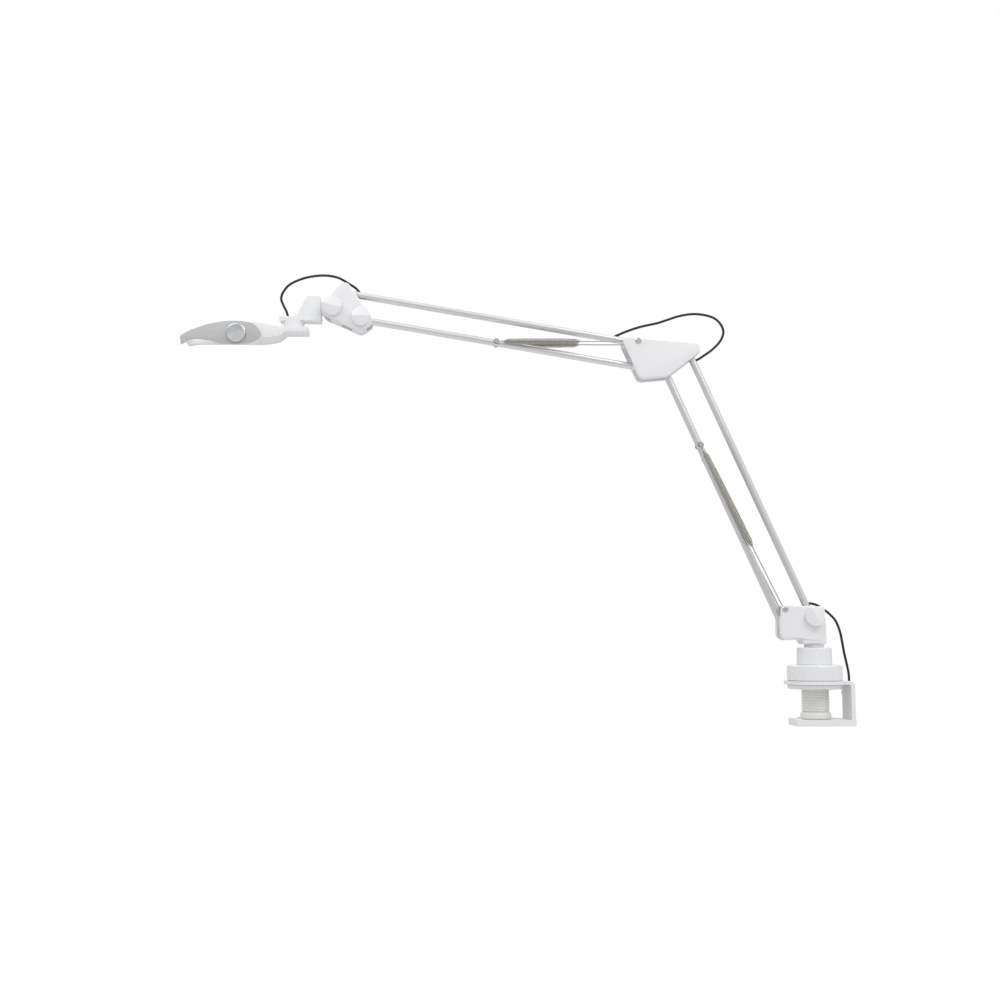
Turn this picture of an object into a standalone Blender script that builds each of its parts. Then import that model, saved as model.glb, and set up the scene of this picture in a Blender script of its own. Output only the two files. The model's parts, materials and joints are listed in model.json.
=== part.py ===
"""Clamp-on desk lamp with two sprung parallelogram arms and a swivelling LED head.

Frame: origin on the clamp screw's axis, on the underside of the lower jaw. +Z is up, the arms reach
out towards -X, and the arms' middle plane is Y = 0. Lengths below are in millimetres; MM turns them
into Blender's metres.
"""

import math

import bmesh
import bpy
from mathutils import Matrix, Vector

MM = 0.001
GAP = 0.3  # clearance between neighbouring pieces

# Arms: pivots in the (X, Z) plane, tube size and lean.
LOWER_PIVOT = (-3.0, 151.0)  # rear tube in the shoulder
ARM_LENGTH = 418.0  # pivot to pivot, both arms
LOWER_LEAN = 24.0  # degrees from vertical, towards -X
UPPER_RISE = 9.5  # degrees above horizontal, towards -X
LOWER_OFFSET = (-35.0, -26.0)  # front tube's pivots from the rear tube's
UPPER_OFFSET = (20.0, -38.0)  # bottom tube's pivots from the top tube's
ELBOW_OFFSET = (-72.5, 8.1)  # elbow screw from the lower rear tube's top pivot
TILT_OFFSET = (-20.3, -23.5)  # tilt axis from the top tube's wrist pivot
SPRING_SCREW = (-44.0, 161.5)  # lower springs' anchor on the shoulder
LOWER_SPRING_REACH = 294.0  # spring pin along the front tube, from its bottom pivot
UPPER_SPRING_REACH = 224.0  # spring pin along the bottom tube, from its elbow pivot
TUBE_R = 5.0
TUBE_WALL = 1.0
EYE_R = 6.4
EYE_HALF = 6.2  # half of an eye's length along Y
TUBE_START = 9.0  # a tube starts this far from its pivot
PIN_R = 2.5
STUD_R = 3.0
CABLE_R = 1.75

# Covers of the shoulder, elbow and wrist.
COVER_HALF = 17.5  # outer faces at Y = +-COVER_HALF
COVER_SKIN = 2.4
SLOT_HALF = 6.6  # half width of the slot that the tubes swing in
COVER_INSIDE = COVER_HALF - COVER_SKIN

# Springs.
SPRING_Y = 10.5
SPRING_R = 4.6
SPRING_WIRE_R = 0.8
SPRING_PIN_R = 1.6
SPRING_HOOK_R = 3.7

# Knobs.
KNOB_R = 13.3
KNOB_HIGH = 9.0
KNOB_LOW = 5.0
NUT_R = 6.0

# Clamp.
JAW_HIGH = 9.0
JAW_LEFT = -32.4
JAW_HALF = 25.0
SPINE_IN = 44.5
SPINE_OUT = 50.0
SPINE_HALF = 22.5
PLATE_LOW = 57.0
PLATE_TOP = 62.0
PLATE_R = 42.6
NUT_DISC_R = 38.2
NUT_DISC_LOW = 50.5
THREAD_R = 19.1
THREAD_DEPTH = 1.1
THREAD_PITCH = 4.0
THREAD_LOW = 19.3
RING_R = 38.2
RING_TOP = 84.0
RING_NECK_R = 14.5
SPIGOT_R = 8.0
SPINDLE_R = 6.0
FOOT_R = 21.1
SLEEVE_R = 23.9
SLEEVE_TOP = 108.0
POST_BORE_BOTTOM = 72.0

# Head.
HEAD_HALF = 25.0
PANEL_THICK = 3.0
LOOP_HALF = 16.5  # half width of the finger hole
UNDERSIDE = 540.0
DIAL_R = 13.4
DIAL_HIGH = 4.6
DIAL_AT = (-810.6, 544.6)
SWIVEL_X = -734.0
NECK_TOP = 557.4
NECK_LOW = 550.5
NECK_HALF = 17.5
NECK_END = -713.0
BRACKET_HALF = 12.0
BRACKET_BASE = 567.6
BRACKET_TOP = 603.0
SWIVEL_PIN_R = 3.5

# Power lead and its stored coil, which lies behind the lower jaw.
COIL_AT = (20.0, 57.0)  # centre of the coil in plan (X, Y)
COIL_INNER = 10.2
COIL_OUTER = 28.4
COIL_HIGH = 7.2
PLUG_ANGLE = 165.0  # where the lead leaves the coil, in degrees about its centre
PLUG_LENGTH = 36.0


def lean(point, angle, distance):
    """The point that lies a distance from another, at an angle from +Z towards +X, in degrees."""
    a = math.radians(angle)
    return (point[0] + distance * math.sin(a), point[1] + distance * math.cos(a))


def shift(point, offset):
    return (point[0] + offset[0], point[1] + offset[1])


LOWER_ANGLE = -LOWER_LEAN
UPPER_ANGLE = -(90.0 - UPPER_RISE)
P2 = LOWER_PIVOT
P1 = shift(P2, LOWER_OFFSET)
Q2 = lean(P2, LOWER_ANGLE, ARM_LENGTH)
Q1 = lean(P1, LOWER_ANGLE, ARM_LENGTH)
R1 = shift(Q2, ELBOW_OFFSET)
R2 = shift(R1, UPPER_OFFSET)
S1 = lean(R1, UPPER_ANGLE, ARM_LENGTH)
S2 = lean(R2, UPPER_ANGLE, ARM_LENGTH)
TILT = shift(S1, TILT_OFFSET)
LOWER_LUG = lean(P1, LOWER_ANGLE, LOWER_SPRING_REACH)
UPPER_LUG = lean(R2, UPPER_ANGLE, UPPER_SPRING_REACH)


# ---------------------------------------------------------------- scene and helpers


def clear_scene():
    for thing in list(bpy.data.objects):
        bpy.data.objects.remove(thing, do_unlink=True)


def new_collection(name):
    collection = bpy.data.collections.new(name)
    bpy.context.scene.collection.children.link(collection)
    return collection


def make_material(name, colour, roughness, metallic=0.0):
    m = bpy.data.materials.new(name)
    m.use_nodes = True
    shader = m.node_tree.nodes["Principled BSDF"]
    shader.inputs["Base Color"].default_value = (*colour, 1.0)
    shader.inputs["Roughness"].default_value = roughness
    shader.inputs["Metallic"].default_value = metallic
    return m


clear_scene()
PARTS = new_collection("clamp_on_desk_lamp")
CUTTERS = new_collection("cutters")
WHITE = make_material("white_plastic", (0.80, 0.81, 0.84), 0.35)
WARM_WHITE = make_material("warm_white_plastic", (0.78, 0.77, 0.73), 0.45)
TUBE_METAL = make_material("silver_tube", (0.62, 0.63, 0.64), 0.32, 0.9)
PANEL_METAL = make_material("silver_panel", (0.56, 0.57, 0.57), 0.38, 0.7)
DIAL_METAL = make_material("brushed_aluminium", (0.66, 0.67, 0.68), 0.28, 1.0)
STEEL = make_material("bright_steel", (0.55, 0.54, 0.52), 0.3, 1.0)
SPRING_STEEL = make_material("spring_steel", (0.48, 0.46, 0.43), 0.35, 1.0)
BLACK = make_material("black_cable", (0.015, 0.015, 0.016), 0.45)
NYLON = make_material("grey_nylon", (0.45, 0.45, 0.46), 0.5)
FROSTED = make_material("frosted_diffuser", (0.86, 0.86, 0.83), 0.55)
BOARD = make_material("led_board", (0.75, 0.76, 0.72), 0.5)


def add_object(name, mesh, paint=None, collection=None):
    thing = bpy.data.objects.new(name, mesh)
    (collection or PARTS).objects.link(thing)
    if paint is not None:
        mesh.materials.clear()
        mesh.materials.append(paint)
    return thing


def shade(mesh, angle=40.0):
    mesh.shade_smooth()
    mesh.set_sharp_from_angle(angle=math.radians(angle))


def hide_cutter(cutter):
    cutter.hide_render = True
    cutter.display_type = "WIRE"
    for holder in list(cutter.users_collection):
        holder.objects.unlink(cutter)
    CUTTERS.objects.link(cutter)


def as_mesh(curve_object):
    """Turns a curve object into a mesh object with welded caps, in the same place."""
    evaluated = curve_object.evaluated_get(bpy.context.evaluated_depsgraph_get())
    mesh = bpy.data.meshes.new_from_object(evaluated)
    bm = bmesh.new()
    bm.from_mesh(mesh)
    bmesh.ops.remove_doubles(bm, verts=bm.verts, dist=1e-6)
    bmesh.ops.recalc_face_normals(bm, faces=bm.faces)
    bm.to_mesh(mesh)
    bm.free()
    name = curve_object.name
    place = curve_object.matrix_world.copy()
    bpy.data.objects.remove(curve_object, do_unlink=True)
    thing = add_object(name, mesh)
    thing.matrix_world = place
    return thing


def apply_modifiers(thing):
    bpy.context.view_layer.update()
    evaluated = thing.evaluated_get(bpy.context.evaluated_depsgraph_get())
    mesh = bpy.data.meshes.new_from_object(evaluated)
    thing.modifiers.clear()
    thing.data = mesh
    return thing


def combine(thing, other, operation):
    """Applies an EXACT Boolean to an object. A cutter is kept as a wire guide, a union is used up."""
    bpy.context.view_layer.update()
    boolean = thing.modifiers.new(operation.lower(), "BOOLEAN")
    boolean.operation = operation
    boolean.solver = "EXACT"
    boolean.object = other
    apply_modifiers(thing)
    if operation == "UNION":
        bpy.data.objects.remove(other, do_unlink=True)
    else:
        hide_cutter(other)
    return thing


def cut(thing, *cutters):
    for cutter in cutters:
        combine(thing, cutter, "DIFFERENCE")
    return thing


def join(thing, *others):
    for other in others:
        combine(thing, other, "UNION")
    return thing


def round_edges(thing, width, segments=2, angle=35.0):
    bevel = thing.modifiers.new("rounded_edges", "BEVEL")
    bevel.width = width * MM
    bevel.segments = segments
    bevel.limit_method = "ANGLE"
    bevel.angle_limit = math.radians(angle)
    return apply_modifiers(thing)


def finished(thing, paint, angle=40.0):
    thing.data.materials.clear()
    thing.data.materials.append(paint)
    shade(thing.data, angle)
    return thing


# ---------------------------------------------------------------- basic shapes


def box(name, x, y, z):
    """A box between the given pairs of coordinates."""
    bm = bmesh.new()
    bmesh.ops.create_cube(bm, size=1.0)
    size = Vector((x[1] - x[0], y[1] - y[0], z[1] - z[0])) * MM
    middle = Vector((x[0] + x[1], y[0] + y[1], z[0] + z[1])) * (MM / 2.0)
    bmesh.ops.scale(bm, vec=size, verts=bm.verts)
    mesh = bpy.data.meshes.new(name)
    bm.to_mesh(mesh)
    bm.free()
    thing = add_object(name, mesh)
    thing.location = middle
    return thing


def cylinder(name, radius, length, segments=32):
    """A cylinder about the local Z axis, centred on its middle."""
    bm = bmesh.new()
    bmesh.ops.create_cone(
        bm,
        cap_ends=True,
        segments=segments,
        radius1=radius * MM,
        radius2=radius * MM,
        depth=length * MM,
    )
    mesh = bpy.data.meshes.new(name)
    bm.to_mesh(mesh)
    bm.free()
    return add_object(name, mesh)


def cross_cylinder(name, at, radius, y_from, y_to, segments=32):
    """A cylinder along Y through a point of the (X, Z) plane."""
    thing = cylinder(name, radius, y_to - y_from, segments)
    thing.rotation_euler = (math.radians(90.0), 0.0, 0.0)
    thing.location = Vector((at[0], (y_from + y_to) / 2.0, at[1])) * MM
    return thing


def upright_cylinder(name, radius, z_from, z_to, x=0.0, y=0.0, segments=48):
    thing = cylinder(name, radius, z_to - z_from, segments)
    thing.location = Vector((x, y, (z_from + z_to) / 2.0)) * MM
    return thing


def leaning_cylinder(name, start, angle, from_distance, to_distance, radius, segments=24):
    """A cylinder in the middle plane along the direction that lean() gives."""
    thing = cylinder(name, radius, to_distance - from_distance, segments)
    middle = lean(start, angle, (from_distance + to_distance) / 2.0)
    thing.rotation_euler = (0.0, math.radians(angle), 0.0)
    thing.location = Vector((middle[0], 0.0, middle[1])) * MM
    return thing


def turned(name, profile, steps=48):
    """A body turned about the local Z axis. The profile runs down the outer side, top to bottom."""
    mesh = bpy.data.meshes.new(name)
    points = [(r * MM, 0.0, z * MM) for r, z in profile]
    closed = profile[0][0] > 0.0
    edges = [(i, i + 1) for i in range(len(points) - 1)]
    if closed:
        edges.append((len(points) - 1, 0))
    mesh.from_pydata(points, edges, [])
    thing = add_object(name, mesh)
    screw = thing.modifiers.new("turned", "SCREW")
    screw.steps = steps
    screw.render_steps = steps
    screw.use_merge_vertices = True
    screw.merge_threshold = 1e-5
    return apply_modifiers(thing)


def wire(name, points, radius, resolution=2):
    """A round wire through points in millimetres, with closed ends."""
    curve = bpy.data.curves.new(name, "CURVE")
    curve.dimensions = "3D"
    spline = curve.splines.new("POLY")
    spline.points.add(len(points) - 1)
    for knot, p in zip(spline.points, points):
        knot.co = (p[0] * MM, p[1] * MM, p[2] * MM, 1.0)
    curve.bevel_depth = radius * MM
    curve.bevel_resolution = resolution
    curve.use_fill_caps = True
    thing = add_object(name, curve)
    bpy.context.view_layer.update()
    return as_mesh(thing)


def smooth_route(points, step):
    """Points about a step apart on a smooth Catmull-Rom curve through a route's own points."""
    knots = [Vector(p) for p in points]
    knots = [2 * knots[0] - knots[1]] + knots + [2 * knots[-1] - knots[-2]]
    fine = []
    for i in range(1, len(knots) - 2):
        a, b, c, d = knots[i - 1 : i + 3]
        for k in range(24):
            t = k / 24.0
            linear = 2 * b + (c - a) * t
            square = (2 * a - 5 * b + 4 * c - d) * t**2
            cube = (3 * b - a - 3 * c + d) * t**3
            fine.append((linear + square + cube) / 2.0)
    fine.append(knots[-2])
    length = sum((q - p).length for p, q in zip(fine, fine[1:]))
    count = max(2, round(length / step))
    spaced = [fine[0]]
    walked = 0.0
    for p, q in zip(fine, fine[1:]):
        piece = (q - p).length
        while len(spaced) < count and walked + piece >= len(spaced) * length / count:
            share = (len(spaced) * length / count - walked) / piece
            spaced.append(p.lerp(q, share))
        walked += piece
    spaced.append(fine[-1])
    return spaced


# ---------------------------------------------------------------- outlines


def rounded_outline(corners, steps=4):
    """Outline points from (x, z, radius) corners, with an arc at each corner that has a radius."""
    outline = []
    for i, (x, z, radius) in enumerate(corners):
        here = Vector((x, z))
        back = Vector(corners[i - 1][:2]) - here
        ahead = Vector(corners[(i + 1) % len(corners)][:2]) - here
        if radius <= 0.0:
            outline.append(here)
            continue
        half = back.angle(ahead) / 2.0
        trim = radius / math.tan(half)
        centre = here + (back.normalized() + ahead.normalized()).normalized() * (
            radius / math.sin(half)
        )
        start = here + back.normalized() * trim - centre
        end = here + ahead.normalized() * trim - centre
        turn = start.angle_signed(end)
        for k in range(steps + 1):
            outline.append(centre + Matrix.Rotation(-turn * k / steps, 2) @ start)
    return outline


def flat_curve(name, outline, half, fill="BOTH"):
    """A 2D curve in the (X, Z) plane, extruded along Y. Its front face looks towards -Y."""
    curve = bpy.data.curves.new(name, "CURVE")
    curve.dimensions = "2D"
    spline = curve.splines.new("POLY")
    spline.points.add(len(outline) - 1)
    for knot, p in zip(spline.points, outline):
        knot.co = (p[0] * MM, p[1] * MM, 0.0, 1.0)
    spline.use_cyclic_u = True
    curve.fill_mode = fill
    curve.extrude = half * MM
    thing = add_object(name, curve)
    thing.rotation_euler = (math.radians(90.0), 0.0, 0.0)
    bpy.context.view_layer.update()
    return thing


def slab(name, outline, y_from, y_to):
    """A flat piece with the outline, between two Y positions."""
    thing = as_mesh(flat_curve(name, outline, (y_to - y_from) / 2.0))
    thing.location.y = (y_from + y_to) / 2.0 * MM
    return thing


def smooth_outline(points, steps=3):
    """Outline points through (x, z, kind) knots: 's' is smooth, 'c' is a corner."""
    outline = []
    count = len(points)
    for i in range(count):
        a, b, c, d = (points[(i + k - 1) % count] for k in range(4))
        before = Vector(a[:2]) if b[2] == "s" else Vector(b[:2])
        after = Vector(d[:2]) if c[2] == "s" else Vector(c[:2])
        p, q = Vector(b[:2]), Vector(c[:2])
        for k in range(steps):
            t = k / steps
            linear = 2 * p + (q - before) * t
            square = (2 * before - 5 * p + 4 * q - after) * t**2
            cube = (3 * p - before - 3 * q + after) * t**3
            outline.append((linear + square + cube) / 2.0)
    return outline


# ---------------------------------------------------------------- clamp


def build_clamp_frame():
    """Upper plate, spine and lower jaw of the table clamp, bent from one piece."""
    strip = [
        (0.0, PLATE_TOP, 0.0),
        (SPINE_OUT, PLATE_TOP, 7.0),
        (SPINE_OUT, 0.0, 1.0),
        (SPINE_IN - 6.0, 0.0, 0.0),
        (SPINE_IN - 6.0, JAW_HIGH, 0.0),
        (SPINE_IN, JAW_HIGH, 0.0),
        (SPINE_IN, PLATE_LOW, 2.0),
        (0.0, PLATE_LOW, 0.0),
    ]
    frame = slab("clamp_frame", rounded_outline(strip), -SPINE_HALF, SPINE_HALF)
    plate = upright_cylinder("plate_disc", PLATE_R, PLATE_LOW, PLATE_TOP, segments=56)
    jaw = box("jaw", (JAW_LEFT, SPINE_OUT), (-JAW_HALF, JAW_HALF), (0.0, JAW_HIGH))
    join(frame, plate, jaw)
    bore = upright_cylinder("plate_bore", THREAD_R + 0.5, PLATE_LOW - 5, PLATE_TOP + 5)
    cut(frame, bore)
    round_edges(frame, 1.0, 2, 50.0)
    return finished(frame, WHITE)


def build_clamp_nut():
    """Threaded disc under the upper plate; its underside is slightly dished."""
    bore = THREAD_R + GAP
    profile = [
        (bore, PLATE_LOW - GAP),
        (NUT_DISC_R - 1.0, PLATE_LOW - GAP),
        (NUT_DISC_R, PLATE_LOW - GAP - 1.0),
        (NUT_DISC_R - 1.2, NUT_DISC_LOW + 0.8),
        (NUT_DISC_R - 4.0, NUT_DISC_LOW),
        (bore, NUT_DISC_LOW + 1.6),
    ]
    return finished(turned("clamp_nut", profile, 40), WHITE)


def build_clamp_screw():
    """Hollow screw: ridges below, a smooth neck that carries the ring above."""
    bore = SPIGOT_R + GAP
    profile = [(bore, RING_TOP - 0.4), (RING_NECK_R, RING_TOP - 0.4)]
    profile += [(RING_NECK_R, PLATE_TOP), (THREAD_R - THREAD_DEPTH, PLATE_TOP)]
    ridges = int((PLATE_TOP - THREAD_LOW - 2.0) / THREAD_PITCH)
    for i in range(ridges):
        top = PLATE_TOP - 1.2 - i * THREAD_PITCH
        profile.append((THREAD_R, top - 0.30 * THREAD_PITCH))
        profile.append((THREAD_R, top - 0.55 * THREAD_PITCH))
        profile.append((THREAD_R - THREAD_DEPTH, top - 0.85 * THREAD_PITCH))
    profile.append((THREAD_R - THREAD_DEPTH, THREAD_LOW))
    profile.append((bore, THREAD_LOW))
    return finished(turned("clamp_screw", profile, 26), WARM_WHITE)


def build_tightening_ring():
    """Broad ring that is turned by hand to tighten the clamp."""
    low = PLATE_TOP + 0.5
    profile = [
        (RING_NECK_R + GAP, RING_TOP),
        (RING_R - 2.2, RING_TOP),
        (RING_R, RING_TOP - 1.6),
        (RING_R, low + 1.0),
        (RING_R - 1.0, low),
        (RING_NECK_R + GAP, low),
    ]
    return finished(turned("tightening_ring", profile, 44), WHITE, 25.0)


def build_screw_foot():
    """Foot pad under the screw that presses on the table."""
    low = JAW_HIGH + GAP
    profile = [
        (SPIGOT_R + GAP, THREAD_LOW - GAP),
        (THREAD_R - 0.5, THREAD_LOW - GAP),
        (FOOT_R - 1.0, THREAD_LOW - 1.8),
        (FOOT_R, THREAD_LOW - 4.0),
        (FOOT_R, low + 1.2),
        (FOOT_R - 1.2, low),
        (SPIGOT_R + GAP, low),
    ]
    return finished(turned("screw_foot", profile, 32), WARM_WHITE)


def build_post_sleeve():
    """Sleeve above the ring; its spigot runs down the hollow screw to the foot pad."""
    profile = [
        (0.0, SLEEVE_TOP),
        (SLEEVE_R - 1.0, SLEEVE_TOP),
        (SLEEVE_R, SLEEVE_TOP - 1.4),
        (SLEEVE_R + 0.5, RING_TOP + GAP),
        (SPIGOT_R, RING_TOP + GAP),
        (SPIGOT_R, JAW_HIGH + 1.0),
        (0.0, JAW_HIGH + 1.0),
    ]
    sleeve = turned("post_sleeve", profile, 32)
    bore = upright_cylinder("post_bore", SPINDLE_R + GAP, POST_BORE_BOTTOM, SLEEVE_TOP + 5)
    cut(sleeve, bore)
    return finished(sleeve, WHITE)


# ---------------------------------------------------------------- covers and plates


def tray(name, outline, side):
    """Half of a hollow cover: a face at the outside and walls that reach the middle plane.

    side is -1 for the half that faces -Y and 1 for the other.
    """
    half = (COVER_HALF - GAP / 2.0) / 2.0
    thing = as_mesh(flat_curve(name, outline, half, "FRONT"))
    point_outwards(thing)
    solidify = thing.modifiers.new("skin", "SOLIDIFY")
    solidify.thickness = COVER_SKIN * MM
    solidify.offset = -1.0
    solidify.use_even_offset = True
    apply_modifiers(thing)
    round_face(thing, 1.8)
    if side > 0:
        mirror_thickness(thing)
    thing.location.y = side * (half + GAP / 2.0) * MM
    return thing


def point_outwards(thing):
    """Makes an open tray's faces point away from its hollow, with its big face at local +Z."""
    bm = bmesh.new()
    bm.from_mesh(thing.data)
    big = max(bm.faces, key=lambda face: face.calc_area())
    if big.calc_center_median().z < 0.0:
        bmesh.ops.scale(bm, vec=(1.0, 1.0, -1.0), verts=bm.verts)
        bmesh.ops.reverse_faces(bm, faces=bm.faces)
    if big.normal.z < 0.0:
        bmesh.ops.reverse_faces(bm, faces=bm.faces)
    bm.to_mesh(thing.data)
    bm.free()


def round_face(thing, width):
    """Rounds the edge around a tray's outer face."""
    bm = bmesh.new()
    bm.from_mesh(thing.data)
    top = max(v.co.z for v in bm.verts)
    rim = [e for e in bm.edges if min(v.co.z for v in e.verts) > top - 1e-6]
    rim = [e for e in rim if e.calc_face_angle(0.0) > 1.0]
    bmesh.ops.bevel(bm, geom=rim, offset=width * MM, segments=3, affect="EDGES", profile=0.5)
    bm.to_mesh(thing.data)
    bm.free()


def mirror_thickness(thing):
    """Mirrors a piece along its local Z."""
    bm = bmesh.new()
    bm.from_mesh(thing.data)
    bmesh.ops.scale(bm, vec=(1.0, 1.0, -1.0), verts=bm.verts)
    bmesh.ops.reverse_faces(bm, faces=bm.faces)
    bm.to_mesh(thing.data)
    bm.free()


def boss(name, at, side):
    """Post inside a cover that holds the end of a pivot pin."""
    near = side * SLOT_HALF
    far = side * (COVER_INSIDE + 0.5)
    return cross_cylinder(name, at, PIN_R + 2.2, min(near, far), max(near, far), 20)


def pin_hole(name, at, radius, side, through):
    near = side * (SLOT_HALF - 2.0)
    far = side * (COVER_HALF + 3.0 if through else COVER_INSIDE - 0.2)
    return cross_cylinder(name, at, radius, min(near, far), max(near, far), 20)


SHOULDER_OUTLINE = rounded_outline(
    [
        (-50.2, 167.0, 6.0),
        (-50.6, 118.2, 10.0),
        (-21.0, 118.6, 2.0),
        (-18.0, 113.1, 3.0),
        (13.9, 113.1, 3.0),
        (12.0, 165.2, 3.0),
    ]
)
ELBOW_OUTLINE = rounded_outline(
    [
        (R1[0] - 25.0, R1[1] + 6.0, 6.0),
        (R1[0] + 2.0, R1[1] - 55.0, 9.0),
        (R1[0] + 42.0, R1[1] - 51.0, 8.0),
        (R1[0] + 89.0, R1[1] - 15.0, 4.0),
        (R1[0] + 86.0, R1[1] - 3.0, 4.0),
    ]
)
WRIST_OUTLINE = rounded_outline(
    [
        (S1[0] - 3.0, S1[1] + 18.0, 9.0),
        (TILT[0] - 23.0, TILT[1] - 7.5, 12.0),
        (S2[0] - 1.0, S2[1] - 20.5, 10.0),
        (S2[0] + 19.0, S2[1] - 7.0, 9.0),
    ],
    5,
)


def build_shoulder_cover(side):
    name = "shoulder_cover_front" if side < 0 else "shoulder_cover_rear"
    cover = tray(name, SHOULDER_OUTLINE, side)
    swing = SLOT_HALF
    slots = [
        box("shoulder_top_slot", (-60.0, 20.0), (-swing, swing), (156.0, 175.0)),
        box("shoulder_side_slot", (-60.0, -30.0), (-swing, swing), (114.0, 175.0)),
        box("shoulder_hook_slot", (-60.0, -24.0), (-COVER_INSIDE, COVER_INSIDE), (152.0, 175.0)),
        upright_cylinder("spindle_slot", SPINDLE_R + 4.0, 105.0, 120.0, segments=32),
    ]
    join(cover, boss("shoulder_boss", P1, side))
    cut(cover, *slots)
    cut(cover, pin_hole("shoulder_pin_hole", P1, PIN_R + GAP, side, False))
    cut(cover, pin_hole("shoulder_stud_hole", P2, STUD_R + GAP, side, True))
    cut(cover, pin_hole("spring_screw_hole", SPRING_SCREW, PIN_R + GAP, side, True))
    return finished(cover, WHITE)


def build_elbow_cover(side):
    name = "elbow_cover_front" if side < 0 else "elbow_cover_rear"
    cover = tray(name, ELBOW_OUTLINE, side)
    x, z = R1
    low, high = z - 70.0, z + 20.0
    join(cover, *(boss(f"elbow_boss_{i}", at, side) for i, at in enumerate((Q1, Q2, R2))))
    cut(cover, box("elbow_slot", (x - 40, x + 100), (-SLOT_HALF, SLOT_HALF), (low, high)))
    hooks = box("elbow_hook_slot", (x - 40, x + 7), (-COVER_INSIDE, COVER_INSIDE), (z - 33, high))
    cut(cover, hooks)
    for i, at in enumerate((Q1, Q2, R2)):
        cut(cover, pin_hole(f"elbow_pin_hole_{i}", at, PIN_R + GAP, side, False))
    cut(cover, pin_hole("elbow_screw_hole", R1, PIN_R + GAP, side, True))
    return finished(cover, WHITE)


def build_wrist_plate(side):
    name = "wrist_plate_front" if side < 0 else "wrist_plate_rear"
    cover = tray(name, WRIST_OUTLINE, side)
    arm_span = (S1[0] - 8.0, S2[0] + 40.0)
    arm_height = (S2[1] - 15.0, S2[1] + 80.0)
    join(cover, boss("wrist_boss", S1, side))
    slots = [
        box("wrist_arm_slot", arm_span, (-SLOT_HALF, SLOT_HALF), arm_height),
        box(
            "wrist_tongue_slot",
            (TILT[0] - 40, TILT[0] + 2),
            (-COVER_INSIDE, COVER_INSIDE),
            (TILT[1] - 16, TILT[1] + 17),
        ),
    ]
    cut(cover, *slots)
    cut(cover, pin_hole("wrist_pin_hole", S1, PIN_R + GAP, side, False))
    cut(cover, pin_hole("wrist_stud_hole", S2, STUD_R + GAP, side, True))
    cut(cover, pin_hole("tilt_stud_hole", TILT, STUD_R + GAP, side, True))
    return finished(cover, WHITE)


def build_pin(name, at, half=COVER_INSIDE - 0.5):
    return finished(cross_cylinder(name, at, PIN_R, -half, half, 20), STEEL)


def build_elbow_screw():
    """Pivot of the top tube; its ends are screw heads and the upper springs hook on it."""
    head_low = COVER_HALF + GAP
    profile = [(0.0, head_low + 1.8), (2.6, head_low + 1.8), (4.0, head_low + 0.9)]
    profile += [(4.0, head_low), (PIN_R, head_low), (PIN_R, -head_low)]
    profile += [(4.0, -head_low), (4.0, -head_low - 0.9), (2.6, -head_low - 1.8)]
    profile.append((0.0, -head_low - 1.8))
    screw = turned("elbow_screw", profile, 16)
    screw.rotation_euler = (math.radians(90.0), 0.0, 0.0)
    screw.location = Vector((R1[0], 0.0, R1[1])) * MM
    return finished(screw, STEEL)


def build_spring_screw(side):
    """Short screw in one shoulder cover; the tubes swing between it and its twin."""
    name = "spring_screw_front" if side < 0 else "spring_screw_rear"
    head_low = COVER_HALF + GAP
    profile = [(0.0, head_low + 1.8), (2.6, head_low + 1.8), (4.0, head_low + 0.9)]
    profile += [(4.0, head_low), (PIN_R, head_low), (PIN_R, 7.2), (0.0, 7.2)]
    screw = turned(name, profile, 16)
    screw.rotation_euler = (math.radians(-90.0 * side), 0.0, 0.0)
    screw.location = Vector((SPRING_SCREW[0], 0.0, SPRING_SCREW[1])) * MM
    return finished(screw, STEEL)


# ---------------------------------------------------------------- knobs


def build_knob(name, at, ridge_angle):
    """Wedge-faced clamping knob on the front, with the stud moulded into it."""
    back = -(COVER_HALF + GAP)
    knob = cross_cylinder(name, at, KNOB_R, back - KNOB_HIGH, back, 32)
    wedge = [
        (-KNOB_R - 2, KNOB_LOW - 9),
        (KNOB_R + 2, KNOB_LOW - 9),
        (KNOB_R + 2, KNOB_LOW),
        (0.0, KNOB_HIGH),
        (-KNOB_R - 2, KNOB_LOW),
    ]
    roof = slab(name + "_roof", wedge, -KNOB_R - 2, KNOB_R + 2)
    turn = Matrix.Rotation(math.radians(ridge_angle), 4, "Y")
    upright = Matrix.Rotation(math.radians(90.0), 4, "X")
    place = Matrix.Translation(Vector((at[0], back, at[1])) * MM)
    roof.matrix_world = place @ turn @ upright @ roof.matrix_world
    combine(knob, roof, "INTERSECT")
    round_edges(knob, 0.8, 2, 30.0)
    stud_end = COVER_HALF + 7.0
    join(knob, cross_cylinder("stud", at, STUD_R, back - 1.0, stud_end, 20))
    return finished(knob, WHITE, 30.0)


def build_knob_nut(name, at):
    """Hexagon nut on the rear end of a knob's stud."""
    near = COVER_HALF + GAP
    nut = cross_cylinder(name, at, NUT_R, near, near + 5.0, 6)
    bore = cross_cylinder(name + "_bore", at, STUD_R + GAP, near - 2, near + 8, 20)
    cut(nut, bore)
    return finished(nut, STEEL, 20.0)


# ---------------------------------------------------------------- arms


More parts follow.
